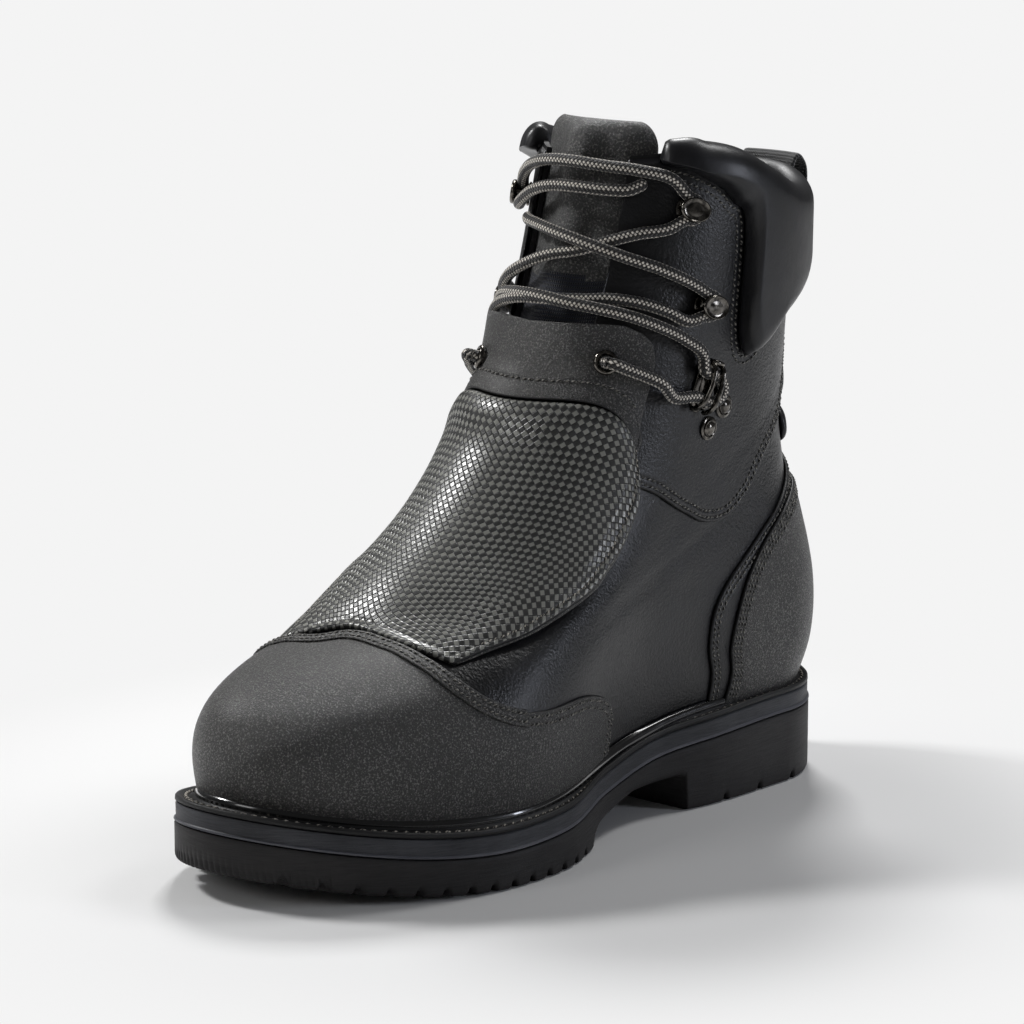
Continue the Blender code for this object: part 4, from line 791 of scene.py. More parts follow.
def tread(along):
    """Underside of the outsole: toe spring, arch behind the ball and half-round notches across."""
    places = [HEEL_BREAST + by for by in (-0.0002, 0.0002, 0.003, 0.030)]
    places += [ARCH_END - by for by in (0.008, 0.002, 0.0)]
    arch = np.interp(along, places, ARCH_HEIGHT * np.array((0.0, 0.9, 1.0, 0.93, 0.55, 0.30, 0.0)))
    fore = np.arange(ARCH_END + NOTCH_PITCH, SOLE_LENGTH - NOTCH_PITCH, NOTCH_PITCH)
    heel = np.arange(HEEL_BREAST - HEEL_NOTCH_PITCH, HEEL_NOTCH_PITCH / 2, -HEEL_NOTCH_PITCH)
    away = np.abs(along[:, None] - np.concatenate([fore, heel])[None, :]).min(axis=1)
    notch = NOTCH_DEPTH * np.sqrt(np.clip(1 - (away / NOTCH_HALF) ** 2, 0, 1))
    return ground_rise(along) + arch + notch


def make_sole():
    """Outsole with its notches, and the slate midsole with a paler lip along its lower edge."""
    side = (
        (0.0024, 0.0, 0.0), (0.0012, 0.0, 0.0002), (0.0005, 0.0, 0.0007), (0.0001, 0.0, 0.0016), (0.0, 0.0, 0.0028),
        (0.0, 0.35, 0.0), (0.0, 0.6, 0.0), (0.0, 0.85, 0.0), (0.0, 1.0, -0.0007), (0.0003, 1.0, -0.0002),
        (0.0010, 1.0, 0.0),
    )
    loops = sole_layer(tread, lambda along: sole_top(along) - MIDSOLE_THICK - GAP, side, serrated=True)
    piece("outsole_with_tread", [sheet(loops)], [outsole_rubber], ["outsole"], 50)
    side = (
        (0.0012, 0.0, 0.0), (0.0001, 0.0, 0.0001), (-0.0002, 0.0, 0.0004), (-0.0001, 0.0, 0.0009),
        (0.0004, 0.0, 0.0012), (0.0006, 0.0, 0.0017), (0.0005, 0.5, 0.0), (0.0005, 1.0, -0.0012),
        (0.0008, 1.0, -0.0004), (0.0018, 1.0, 0.0),
    )
    loops = sole_layer(lambda along: sole_top(along) - MIDSOLE_THICK, sole_top, side)
    kind = np.zeros(loops.shape[1] - 1, int)
    kind[:4] = 1
    span = len(side) + 7 + len(side)
    kind[span - 5:span - 1] = 1
    piece("midsole_band", [sheet(loops, finish=kind)], [slate_rubber, parting_rubber], ["midsole"],
          50)


def make_insole():
    """Foam insole inside the wall: loops of its edge with a rounded rim."""
    turn = np.linspace(np.pi, 0, 240)
    walls = ([], [])
    for wall, side in zip(walls, (1, -1)):
        for by, rise in ((0.0, 0.0), (0.0, 0.0026), (0.0008, 0.0034), (0.0024, 0.0037)):
            point = skin(side * turn, 0.0, -WALL - 0.0012 - by)
            point[:, 2] = sole_top(along_of(point)) + GAP + rise
            wall.append(point)
    piece("insole_foam", [sheet(round_trip(walls))], [insole_felt], ["insole"], 60)


def make_welt():
    """Storm bead that hugs the upper, then a stitched channel and a flat lip to the sole's edge.

    Rows lie out from the upper's foot: by shares of the bead's width and of the way to the sole's edge.
    """
    angle = np.linspace(0, 2 * np.pi, ROUND_ROWS)
    along = (1 + np.cos(angle)) / 2 * SOLE_LENGTH
    foot = skin(angle, 0.0, GAP)
    edge = place(along, raw_outline(along, np.sign(np.sin(angle))), foot[:, 2])
    far, out = np.linalg.norm(edge - foot, axis=1), unit(edge - foot)

    def row(wide, share, back, rise):
        """One row on the midsole."""
        point = foot + out * (wide * BEAD_WIDTH + share * far - back)[:, None]
        point[:, 2] = sole_top(along_of(point)) + GAP + rise
        return point

    rows = [row(0, 0, 0, 0), skin(angle, BEAD_LEVEL, GAP), skin(angle, BEAD_LEVEL * 1.06, 0.0009)]
    rows += [row(wide, 0, 0, high * BEAD_HEIGHT) for wide, high in (
        (0.50, 1.02), (0.75, 0.92), (0.92, 0.74), (1.00, 0.52), (0.98, 0.36))]
    rows += [row(*values) for values in (
        (1.08, 0, 0, 0.0012), (0.5, 0.35, 0, 0.0008), (0.5, 0.52, 0, 0.0009), (0, 1, 0.0022, 0.0019),
        (0, 1, 0.0011, 0.0019), (0, 1, 0.0005, 0.0013), (0, 1, 0.0004, 0), (0, 0, 0, 0))]
    kind = (np.arange(len(rows) - 1) > 6).astype(int)
    piece("welt_with_bead", [sheet(np.stack(rows, 1), finish=kind)], [bead_gloss, welt_rubber], ["welt"])
    line = row(0.5, 0.46, 0, 0.0012)
    fleck_seams.append(stitches(line, np.broadcast_to((0.0, 0.0, 1.0), line.shape), 0.0040, 0.0031, 0.00055, 0.25))


def stitches(points, normals, pitch, long, thick, lean):
    """A row of stitches: capsules that arch out of the leather, evenly spaced along a line of points.

    Each capsule has five rings of six points; its radius and its height follow short tables.
    """
    run = lengths(points)
    count = max(int(run[-1] / pitch), 1)
    middle = (np.arange(count) + 0.5) * run[-1] / count
    rings = np.array([-0.5, -0.36, 0.0, 0.36, 0.5])
    stations = middle[:, None] + long * rings
    centre, normal = (np.stack([np.interp(stations, run, line[:, k]) for k in range(3)], -1)
                      for line in (points, normals))
    normal = unit(normal)
    side = unit(np.cross(normal, unit(np.gradient(centre, axis=1))))
    centre = centre + side * (lean * long * rings)[:, None]
    centre = centre + normal * (thick * np.array([-1.1, -0.2, 0.35, -0.2, -1.1]))[:, None]
    radius = (thick * np.array([0.0, 0.9, 1.0, 0.9, 0.0]))[None, :, None, None]
    spin = np.linspace(0, 2 * np.pi, 7)[None, None, :, None]
    ring = centre[:, :, None] + radius * (np.cos(spin) * side[:, :, None] + np.sin(spin) * normal[:, :, None])
    return sheet(ring, pairs(np.linspace(0, 6.28 * thick, 7)[None, None, :], stations[:, :, None]))


def stitch_line(curve, stand):
    """Stitches along a curve over the skin, at a stand-off."""
    seams.append(stitches(*standing(curve[:, 0], curve[:, 1], stand), 0.0026, 0.0021, 0.00042, 0.16))


seams = []
fleck_seams = []


def overlay(name, edge, far_line, base, thick, finish, nodes, seam_at, way=-1, rows=26, hollow=False,
            depth=9.0):
    """A cut leather piece on the upper: its edge rounds up over 1 mm and the sheet runs on to its far line.

    Rows are the edge moved inward by set distances, then even steps to the far line; stitched rows
    draw the leather in a little, as a Gaussian trough.
    """
    rim = ((0.0, 0.0), (0.12, 0.50), (0.40, 0.85), (0.90, 1.0))
    distances = np.concatenate([column(rim, 0), np.linspace(1.3, depth, 16)])
    grid = [inset(edge, way * by * MM) for by in distances]
    last = grid[-1]
    grid = np.stack(grid + [last + (far_line - last) * share for share in np.linspace(0, 1, rows)[1:]])
    from_edge = np.concatenate([distances, np.full(rows - 1, depth + 5)])
    height = np.ones((len(grid), 1))
    height[:len(rim), 0] = column(rim, 1)
    height[-1] = 0.0
    trough = sum(np.exp(-((from_edge - by) / 0.55) ** 2) for by in seam_at)[:, None]
    run = lengths(upper_point(edge[:, 0], edge[:, 1]))
    ends = end_round(np.minimum(run, run[-1] - run), 0.0012)
    angle, level = grid[..., 0], np.maximum(grid[..., 1], 0.0)
    stand = np.maximum(base + (thick * height - 0.00030 * trough * (height > 0.9)) * ends, base)
    if hollow:
        stand = np.maximum(stand + creases(angle, level) * (height > 0.99) * ends * 0.8, base)
    kind = (np.arange(len(grid) - 1) < 2).astype(int)[:, None]
    piece(name, [sheet(skin(angle, level, stand), finish=kind), sheet(skin(angle, level, base))],
          [finish, cut_edge], nodes)
    for by in seam_at:
        line = inset(edge, way * by * MM)
        stitch_line(line[line[:, 1] > 0.045], base + thick - 0.00012)


def low_overlay(name, table, count, middle, base, thick, finish, nodes, seam_at):
    """An overlay down to the sole, where its far line is drawn in a tenth towards its middle angle."""
    edge = skin_curve(table, count)
    low = np.stack([middle + (edge[:, 0] - middle) * 0.90, np.zeros(len(edge))], -1)
    overlay(name, edge, low, base, thick, finish, nodes, seam_at)
    return edge


def make_upper():
    """The leather wall: a grid from the throat's one edge round the back to the other, outside and lining."""
    share = np.linspace(0, 1, 230)[None, :]
    rise = np.linspace(0, 1, 130)[:, None]
    level = rise * 0.96
    for _ in range(2):
        half = np.maximum(throat_half(level[:, 0]), 0.00008)
        opening = angle_at(level[:, 0], half)[:, None]
        angle = opening + share * (2 * np.pi - 2 * opening)
        level = rise * collar_level(angle)
    outer = skin(angle, level, creases(angle, level))
    inner = skin(angle, level, -WALL)
    rims = [sheet(np.stack([outer[edge], (outer[edge] + inner[edge]) / 2, inner[edge]]), finish=1)
            for edge in (0, -1, (slice(None), 0), (slice(None), -1))]
    piece("upper_leather", [sheet(outer), sheet(inner, finish=2)] + rims, [smooth_leather, cut_edge, lining],
          ["upper"], 50)


def make_overlays():
    """Toe cap with its collar band, counter with its band, and the two shaft panels."""
    edge = low_overlay("toe_cap_leather", TOE_CAP_EDGE, 340, 0.0, GAP, OVERLAY, grained, ["toe_cap"],
                       (1.9, 4.6))
    band = inset(edge[np.abs(edge[:, 0]) < math.radians(66)], 0.0010)
    overlay("toe_collar_leather", band, inset(band, -0.0064), 2 * GAP + OVERLAY, 0.0005, grained, (),
            (1.5, 4.4), rows=3, depth=5.4)
    back = np.radians(178)
    low_overlay("counter_band_leather", BAND_EDGE, 300, back, GAP, COUNTER_THICK, smooth_leather, ["counter_band"],
                (1.8, 4.0))
    low_overlay("counter_leather", COUNTER_EDGE, 300, back, 2 * GAP + COUNTER_THICK, COUNTER_THICK, grained,
                ["counter"], (1.6, 3.4, 5.2))
    top_open = angle_at(np.full(1, 0.955), throat_half(np.full(1, 0.955)))[0]
    for side, table, sign in (("outer", PANEL_OUTER_EDGE, 1), ("inner", PANEL_INNER_EDGE, -1)):
        edge = skin_curve(table, 260)
        turn = np.maximum(np.abs(edge[:, 0]), angle_at(edge[:, 1], throat_half(edge[:, 1]) + 0.0002))
        top_turn = top_open + (turn - turn[0]) / (np.pi - turn[0]) * (np.pi - top_open)
        edge = np.stack([sign * turn, edge[:, 1]], -1)
        top = np.stack([sign * top_turn, collar_level(top_turn) - 0.004], -1)
        overlay("eyestay_%s_leather" % side, edge, top, GAP, OVERLAY, smooth_leather, ["eyestay_" + side],
                (1.9, 4.4), way=sign, rows=36, hollow=True)


def pad_out(made, pressure, cap):
    """A padded piece. In full runs it is cloth under air pressure, held where it is sewn, its swelling capped."""
    mesh = made.data
    filled, rest, after = (np.zeros(len(mesh.vertices) * size, np.float32) for size in (1, 3, 3))
    mesh.attributes["filled"].data.foreach_get("value", filled)
    mesh.vertices.foreach_get("co", rest)
    sewn = made.vertex_groups.new(name="sewn")
    sewn.add(np.nonzero(filled < 0.5)[0].tolist(), 1.0, "REPLACE")
    cloth = made.modifiers.new("filling", "CLOTH")
    for name, value in (("use_pressure", True), ("uniform_pressure_force", pressure), ("vertex_group_mass", "sewn"),
                        ("quality", 6), ("mass", 0.3), ("tension_stiffness", 20.0),
                        ("compression_stiffness", 20.0), ("bending_stiffness", 1.0)):
        setattr(cloth.settings, name, value)
    cloth.settings.effector_weights.gravity = 0.0
    cloth.collision_settings.use_collision = False
    cloth.point_cache.frame_start = 1
    cloth.point_cache.frame_end = CLOTH_FRAMES
    for number in range(1, CLOTH_FRAMES + 1):
        bpy.context.scene.frame_set(number)
    swollen = made.evaluated_get(bpy.context.evaluated_depsgraph_get())
    swollen.to_mesh().vertices.foreach_get("co", after)
    swollen.to_mesh_clear()
    made.modifiers.remove(cloth)
    made.vertex_groups.remove(sewn)
    bpy.context.scene.frame_set(1)
    move = (after - rest).reshape(-1, 3)
    far = np.linalg.norm(move, axis=1, keepdims=True)
    move *= cap * np.tanh(far / cap) / np.maximum(far, 1e-9)
    print("padding", made.name, "largest move in mm", round(float(np.abs(far).max() / MM), 2))
    mesh.vertices.foreach_set("co", rest + move.ravel())
    mesh.update()


def sections(loops, rows):
    """Closed sections made finer: a periodic cubic through each section's points."""
    padded = np.concatenate([loops[-3:], loops, loops[:4]])
    at = np.linspace(3, 3 + len(loops), rows)
    return np.stack([np.stack([smooth(at, np.arange(len(padded)), padded[:, j, k])
                               for j in range(loops.shape[1])], 1) for k in range(3)], -1)


def close_ends(loops, distance, reach):
    """Sections drawn in to their middle at both ends of the run, along a quarter circle."""
    middle = loops.mean(axis=0, keepdims=True)
    share = end_round(np.minimum(distance, distance[-1] - distance), reach)[None, :, None]
    return middle + (loops - middle) * share


def make_collar_pad():
    """Padded collar: outside the wall, over its top edge in a half circle and down to the knit lining."""
    angle = np.radians(np.linspace(42, 318, 160))
    from_front = np.degrees(np.pi - np.abs(np.pi - angle))
    low, top = look_up(from_front, PAD_EDGE), collar_level(angle)
    base, lined = OVERLAY + 3 * GAP, -WALL - GAP
    rise = PAD_WRAP / UPPER_HEIGHT
    full = PAD_THICK * (0.45 + 0.55 * ease((from_front - 38) / 22))
    outer, inner = base + full, -WALL - 0.35 * full
    radius, centre = (outer - inner) / 2, (outer + inner) / 2
    crown = np.maximum(top + 0.013 - radius / UPPER_HEIGHT, low + 0.004)
    tall = (crown - low) * UPPER_HEIGHT
    rows = [(low + (crown - low) * share, base + full * end_round(tall * share, np.minimum(tall, 0.0075)))
            for share in (0.0, 0.02, 0.07, 0.16, 0.30, 0.50, 0.75)]
    rows += [(crown + radius / UPPER_HEIGHT * math.sin(turn), centre + radius * math.cos(turn))
             for turn in np.linspace(0, math.pi, 9)]
    rows += [((crown + top - rise) / 2, inner + 0.20 * radius), (top - rise, lined), (top - rise * 0.4, lined),
             (top + 0.0035, lined), (top + 0.0035, base), (crown, base), (low + (crown - low) * 0.6, base),
             (low + (crown - low) * 0.25, base)]
    loops = np.stack([skin(angle, level, stand) for level, stand in rows])
    fine = close_ends(sections(loops, 77), lengths(skin(angle, top)), 0.0028)
    number = np.linspace(0, len(rows), 77)[:, None]
    filled = ((number > 0.9) & (number < 15.5)).astype(float)
    kind = np.where((number[:-1] > 13.6) & (number[:-1] < 17.5), 1, 0)
    made = piece("collar_padding", [sheet(fine, finish=kind, filled=filled)], [pad_skin, lining], ["collar_pad"])
    pad_out(made, 2.0, 0.0009)
    edge = np.stack([angle, low], -1)[3:-3]
    for by in (1.6, 4.2):
        stitch_line(inset(edge, -by * MM), GAP + OVERLAY + 0.0001)


def make_back_rolls():
    """Two padded rolls across the back of the ankle, domed in section and tapered to their ends."""
    angle = np.radians(np.linspace(*ROLL_ENDS, 90))
    middle_angle = math.radians(sum(ROLL_ENDS) / 2)
    swing = ((angle - middle_angle) / (angle[-1] - middle_angle)) ** 2
    taper = np.sqrt(np.clip(1 - swing * 0.85, 0, 1))
    full = ROLL_THICK * (0.25 + 0.75 * taper) * (1 + 0.05 * np.sin(angle * 14))
    for name, low, high in ROLLS:
        middle = (low + high) / 2 - 0.012 * swing
        half = (high - low) / 2 * (0.72 + 0.28 * taper)
        rows = [(middle + half * t, GAP + full * (1 - abs(t) ** 2.6) ** 0.62) for t in np.linspace(-1, 1, 29)]
        rows += [(middle + half * t, GAP) for t in np.linspace(1, -1, 12)[1:]]
        loops = np.stack([skin(angle, level, stand) for level, stand in rows])
        loops = close_ends(loops, lengths(skin(angle, middle)), 0.003)
        filled = np.zeros((len(rows), 1))
        filled[2:27] = 1.0
        made = piece("roll_%s_padding" % name, [sheet(loops, filled=filled)], [pad_skin], ["back_roll_" + name])
        pad_out(made, 2.0, 0.0006)


def make_pull_loop():
    """Webbing strap: it rises past the pad, turns over and comes down on itself, with a sewn box and cross."""
    seat = 2 * GAP + OVERLAY + WEBBING / 2
    off_pad = 2 * GAP + OVERLAY + PAD_THICK + GAP + WEBBING / 2 + 0.0002
    out = off_pad + WEBBING + LOOP_GAP
    over = seat + WEBBING + GAP
    path = np.array([
        (0.660, seat), (0.715, seat), (0.768, seat), (0.785, seat + 0.0024), (0.800, off_pad - 0.0034),
        (0.815, off_pad - 0.0010), (0.835, off_pad), (0.880, off_pad + 0.0002), (0.922, off_pad),
        (0.936, (off_pad + out) / 2), (0.922, out), (0.880, out + 0.0006), (0.840, out), (0.810, out - 0.0034),
        (0.788, over + 0.0052), (0.772, over + 0.0012), (0.758, over), (0.672, over),
    ])
    rise = UPPER_HEIGHT * 0.94
    flat = through(path * (rise, 1.0), 150)
    ahead = unit(np.gradient(flat, axis=0))
    across_path = np.stack([ahead[:, 1], -ahead[:, 0]], -1) * WEBBING / 2
    share = np.concatenate([[-1.0, -0.985], np.linspace(-0.93, 0.93, 25), [0.985, 1.0]])
    swell = np.array([0.0, 0.8] + [1.0] * 25 + [0.8, 0.0])
    angle = np.pi + LOOP_WIDTH / 2 / (BACK_ROUND + flat[:, 1:]) * share
    sides = [flat[:, None, :] + sign * across_path[:, None, :] * swell[None, :, None] for sign in (1, -1)]
    faces = [skin(angle, side[..., 0] / rise, side[..., 1]) for side in sides]
    uv = pairs(share * LOOP_WIDTH / 2, lengths(flat)[:, None])
    rims = [sheet(np.stack([faces[0][k], faces[1][k]])) for k in (0, -1)]
    piece("pull_loop_webbing", [sheet(face, uv) for face in faces] + rims, [webbing], ["pull_loop"])
    turn = (LOOP_WIDTH / 2 - 0.0022) / (BACK_ROUND + over)
    corners = np.array([(-1, 0.678), (1, 0.678), (1, 0.752), (-1, 0.752), (-1, 0.678), (1, 0.752), (-1, 0.752),
                        (1, 0.678)])
    for a, b in zip(corners[:-1], corners[1:]):
        stitch_line(np.linspace(a, b, 30) * (turn, 1.0) + (np.pi, 0.0), over + WEBBING / 2)


def make_tongue():
    """Padded tongue: a crowned sheet with rounded corners, grained in front over a knit foot, mesh behind."""
    foot, head = 0.455, 0.998
    level = (foot + (head - foot) * ease(np.linspace(0, 1, 120)) ** 0.9)[:, None]
    part = np.sin(np.linspace(-np.pi / 2, np.pi / 2, 100))[None, :]
    half = TONGUE_HALF * (0.80 + 0.20 * ease((level - foot) / 0.2))
    half = half * (1 - 0.14 * ease((level - 0.82) / 0.08))
    half = half - 0.008 * (1 - end_round((0.9985 - level) * UPPER_HEIGHT, 0.008))
    reach = np.abs(part)
    shares = np.linspace(0, 1, 40)
    table = np.concatenate([angle_at(level, half * share) for share in shares], axis=1)
    angle = np.stack([np.interp(reach[0], shares, row) for row in table]) * np.sign(part)
    rise = ease((level - 0.53) / 0.06) * np.cos(np.clip(reach / 0.46, 0, 1) * np.pi / 2) ** 2
    tufts = 0.0007 * np.cos(2 * np.pi * (level - 0.53) / 0.085) * rise * ease((level - 0.60) / 0.05)
    across = half * reach
    rim = end_round(half - across, 0.0035) * end_round((head - level) * UPPER_HEIGHT, 0.0045)
    rim = rim * end_round((level - foot) * UPPER_HEIGHT, 0.003)
    thick = TONGUE_THICK / 2
    middle = -WALL - 1.5 * GAP - thick
    crown = ease((level - 0.90) / 0.05) * 0.0012 * np.cos(reach * np.pi / 2)
    outer = skin(angle, level, middle + (thick + TONGUE_BULGE * rise + tufts + crown) * rim)
    inner = skin(angle, level, middle - thick * rim)
    uv = pairs(across * np.sign(part), level * UPPER_HEIGHT)
    filled = ((rim > 0.9) & (level > 0.6)).astype(float)
    kind = np.where(level < 0.846 - 0.012 * reach ** 2, 2, 0)[:-1, :-1]
    made = piece("tongue_padded", [sheet(outer, uv, kind, filled), sheet(inner, uv, 1)],
                 [tongue_leather, tongue_mesh, foot_knit], ["tongue"])
    pad_out(made, 1.5, 0.0007)


def crowded(columns, rows, even_across, even_up):
    """Shares across (-1 to 1) and up (0 to 1) of a grid whose lines crowd at its edges: even steps with a sine."""
    x, y = np.linspace(-1, 1, columns), np.linspace(0, 1, rows)
    across = even_across * x + (1 - even_across) * np.sin(np.pi * x / 2)
    up = even_up * y + (1 - even_up) * (1 - np.cos(np.pi * y)) / 2
    return across[None, :], up[:, None]


def from_edges(face):
    """Distances over a face from its first column, its last column, its foot and its top."""
    across, up = lengths(face, -2), lengths(face, -3)
    return across, across[:, -1:] - across, up, up[-1:] - up


def shield_top(part):
    """Level of the shield's upper edge, lower towards the sides."""
    return SHIELD_HIGH - SHIELD_HIGH_DROP * np.abs(part) ** 5


def shield_place(height, part):
    """Angle, level, stand-off of the shield's outer face and thickness at a share of its height and width."""
    stand = SHIELD_STAND * look_up(height, SHIELD_EDGE, 2)
    angle = part * np.radians(look_up(height, SHIELD_EDGE)) * np.where(part < 0, INNER_SIDE_SHARE, 1.0)
    low = SHIELD_LOW - SHIELD_LOW_DROP * part ** 2
    level = low + (shield_top(part) - low) * height
    thick = SHIELD_THICK * (0.38 + 0.62 * ease(height / 0.25)) * (1 - 0.45 * part ** 6)
    lift = np.where(part < 0, INNER_SIDE_LIFT, 0.0) * part ** 2 * ease(height / 0.3)
    return angle, level, np.maximum(stand + lift, thick + 3 * GAP), thick


def make_shield():
    """Metatarsal shield: a domed moulding with a raised plateau inside a flatter, stitched rim.

    The plateau rises as an eased step 6 mm in from the near edges; the rim rounds over 2 mm.
    """
    part, height = crowded(190, 150, 0.45, 0.6)
    angle, level, stand, thick = shield_place(height, part)
    left, right, from_low, from_top = from_edges(skin(angle, level, stand))
    from_side = np.where(part > 0, right, left)
    middle = part.shape[1] // 2
    across = left - left[:, middle:middle + 1]
    plateau = ease((from_side - 0.0055) / 0.0045) * ease((from_low - 0.004) / 0.010)
    plateau = plateau * (0.35 + 0.65 * ease((height - 0.25) / 0.4))
    shoulder = np.exp(-((from_top - 0.0075) / 0.0045) ** 2) * ease((from_side - 0.010) / 0.01)
    hollow = np.exp(-((from_top - 0.021) / 0.009) ** 2) * ease((from_side - 0.016) / 0.016)
    sunk = 1 - ease(from_top / 0.004)
    groove = np.exp(-((np.minimum(from_side, from_low) - SHIELD_SEAM) / 0.0006) ** 2)
    shape = 0.0014 * plateau + 0.0008 * shoulder - 0.0009 * hollow - 0.0006 * sunk - 0.0004 * groove
    rim = end_round(np.minimum(from_side, from_top), 0.0020) * end_round(from_low, 0.0009)
    outer = skin(angle, level, stand - thick + (thick + shape) * rim)
    inner = skin(angle, level, stand - thick)
    uv = np.stack([across, -from_top], -1)
    kind = np.where(from_side[:-1, :-1] < 0.0009, 1, 0)
    piece("shield_moulded", [sheet(outer, uv, kind), sheet(inner, uv, 1)], [weave, cut_edge], ["guard_shield"])
    line_height = np.linspace(0.045, 0.985, 160)[:, None]
    rows = np.stack([np.interp(line_height[:, 0], height[:, 0], line) for line in across.T], 1)
    for side in (1, -1):
        reach = np.abs(rows[:, -1] if side > 0 else rows[:, 0]) - SHIELD_SEAM
        at_part = np.array([np.interp(side * r, row, part[0]) for r, row in zip(reach, rows)])[:, None]
        angle, level, stand, thick = shield_place(line_height, at_part)
        points, normals = standing(angle, level, stand - 0.0003)
        fleck_seams.append(stitches(points[:, 0], normals[:, 0], 0.0026, 0.0022, 0.00040, 0.1))


def make_backing():
    """Leather backing under the shield, 1 mm wider, up behind the flap's foot: the second layer of its lip."""
    part, height = crowded(190, 60, 0.45, 0.6)
    angle, level, stand, thick = shield_place(height * 1.07, part[:, ::2] * 1.015)
    top = stand - thick - 0.0001
    edges = from_edges(skin(angle, level, top))
    rim = end_round(np.minimum.reduce(edges), 0.0008)
    half = np.minimum(0.0012, np.maximum(stand - thick - 2 * GAP, 0.0002)) / 2
    faces = [sheet(skin(angle, level, top - half + sign * half * rim)) for sign in (1, -1)]
    piece("shield_backing_leather", faces, [grained], ())


def flap_stand(height):
    """Stand-off of the flap's outer face: the shield's at its foot, less at its top."""
    foot = SHIELD_STAND * 0.95
    return foot + (FLAP_STAND - foot) * ease(height / 0.5)


def flap_out(level, degrees):
    """Stand-off of the flap's outer face at an eyelet."""
    foot = SHIELD_HIGH + SEAM_GAP / UPPER_HEIGHT
    extra = INNER_SIDE_LIFT * (degrees / (57 * INNER_SIDE_SHARE)) ** 2 if degrees < 0 else 0.0
    return float(flap_stand((level - foot) / (FLAP_TOP - foot))) + extra


def flap_place(height, part):
    """Angle, level and stand-off of the flap's outer face."""
    angle = part * np.radians(look_up(height, FLAP_EDGE)) * np.where(part < 0, INNER_SIDE_SHARE, 1.0)
    low = shield_top(part) + 0.03 * SEAM_GAP / UPPER_HEIGHT
    level = low + (FLAP_TOP - low) * height
    return angle, level, flap_stand(height) + np.where(part < 0, INNER_SIDE_LIFT, 0.0) * part ** 2


def make_flap():
    """Leather flap above the shield, with rounded upper corners and a stitched row over its foot."""
    part, height = crowded(160, 70, 0.5, 0.4)
    angle, level, stand = flap_place(height, part)
    left, right, up, from_top = from_edges(skin(angle, level, stand))
    border = np.minimum.reduce([left, right, up, from_top])
    rim = end_round(np.minimum.reduce([left, right, from_top]), 0.0012) * end_round(up, 0.0006)
    fold = np.exp(-((up - FLAP_SEAM) / 0.0007) ** 2) * ease((border - 0.001) / 0.001)
    waves = 0.0005 * np.sin(9 * angle) * ease((height - 0.3) / 0.4)
    thick = FLAP_THICK / 2
    outer = skin(angle, level, stand - thick + (thick + waves - 0.0003 * fold) * rim)
    inner = skin(angle, level, stand - thick - thick * rim)
    kind = np.where(border[:-1, :-1] < 0.0007, 1, 0)
    piece("flap_leather", [sheet(outer, finish=kind), sheet(inner, finish=1)], [grained, cut_edge], ["guard_flap"])
    line = np.linspace(-0.93, 0.93, 160)
    row = np.full_like(line, FLAP_SEAM / up[-1, up.shape[1] // 2])
    seams.append(stitches(*standing(*flap_place(row, line)), 0.0028, 0.0023, 0.00042, 0.1))


def surface_frame(degrees, level, stand):
    """A point off the surface, with its normal, the direction round the ring and the one up the ring."""
    angle = math.radians(degrees)
    centre, normal = standing(angle, level, stand)
    up = upper_point(angle, level + 0.004) - upper_point(angle, level - 0.004)
    up = unit(up - normal * np.dot(up, normal))
    return centre, normal, np.cross(up, normal), up


def turned(profile, spot, sizes=(1.0, 1.0), steps=40, stretch=1.0):
    """A turned piece: a (radius, height) profile in shares of its sizes carried round the normal."""
    centre, normal, across, up = spot
    turns = np.linspace(0, 2 * np.pi, steps + 1)
    ring = np.cos(turns)[:, None] * across + stretch * np.sin(turns)[:, None] * up
    profile = np.array(profile) * sizes
    return sheet(centre + profile[:, 0, None, None] * ring[None] + profile[:, 1, None, None] * normal)


def tube(path, radius, normal_hint, steps=12):
    """A round bar along a path: a circle square to the path at each point, rounded off at both ends."""
    ahead = unit(np.gradient(path, axis=0))
    side = unit(np.cross(ahead, normal_hint))
    up = np.cross(side, ahead)
    spin = np.linspace(0, 2 * np.pi, steps + 1)[None, :, None]
    run = lengths(path)
    size = radius * end_round(np.minimum(run, run[-1] - run), radius)
    loops = path[:, None] + size[:, None, None] * (np.cos(spin) * side[:, None] + np.sin(spin) * up[:, None])
    return sheet(loops, pairs(np.linspace(0, 2 * np.pi * radius, steps + 1)[None, :], run[:, None]))


def make_hook(name, level, degrees):
    """Lacing hook: a foot ring and neck, and an oval head 12.6 x 9.6 mm with a rolled rim round a low dome."""
    centre, normal, across, up = surface_frame(degrees, level, SEAT)
    foot = ((0.00, 0.00), (1.00, 0.00), (1.10, 0.03), (1.10, 0.09), (0.92, 0.14), (0.60, 0.15), (0.42, 0.22),
            (0.36, 0.45), (0.36, 0.74), (0.00, 0.76))
    head = ((0.00, 0.68), (0.60, 0.68), (1.20, 0.72), (1.42, 0.78), (1.47, 0.86), (1.42, 0.95), (1.30, 0.99),
            (1.18, 0.95), (1.08, 0.90), (0.70, 0.93), (0.35, 0.95), (0.00, 0.96))
    sizes = (HOOK_RADIUS, HOOK_HEIGHT)
    out = across * math.copysign(0.0010, degrees)
    sheets = [turned(foot, (centre, normal, across, up), sizes),
              turned(head, (centre + out, normal, across, up), sizes, 48, 0.76)]
    piece("hook_%s_plated" % name, sheets, [metal], ["hook_" + name], 60)


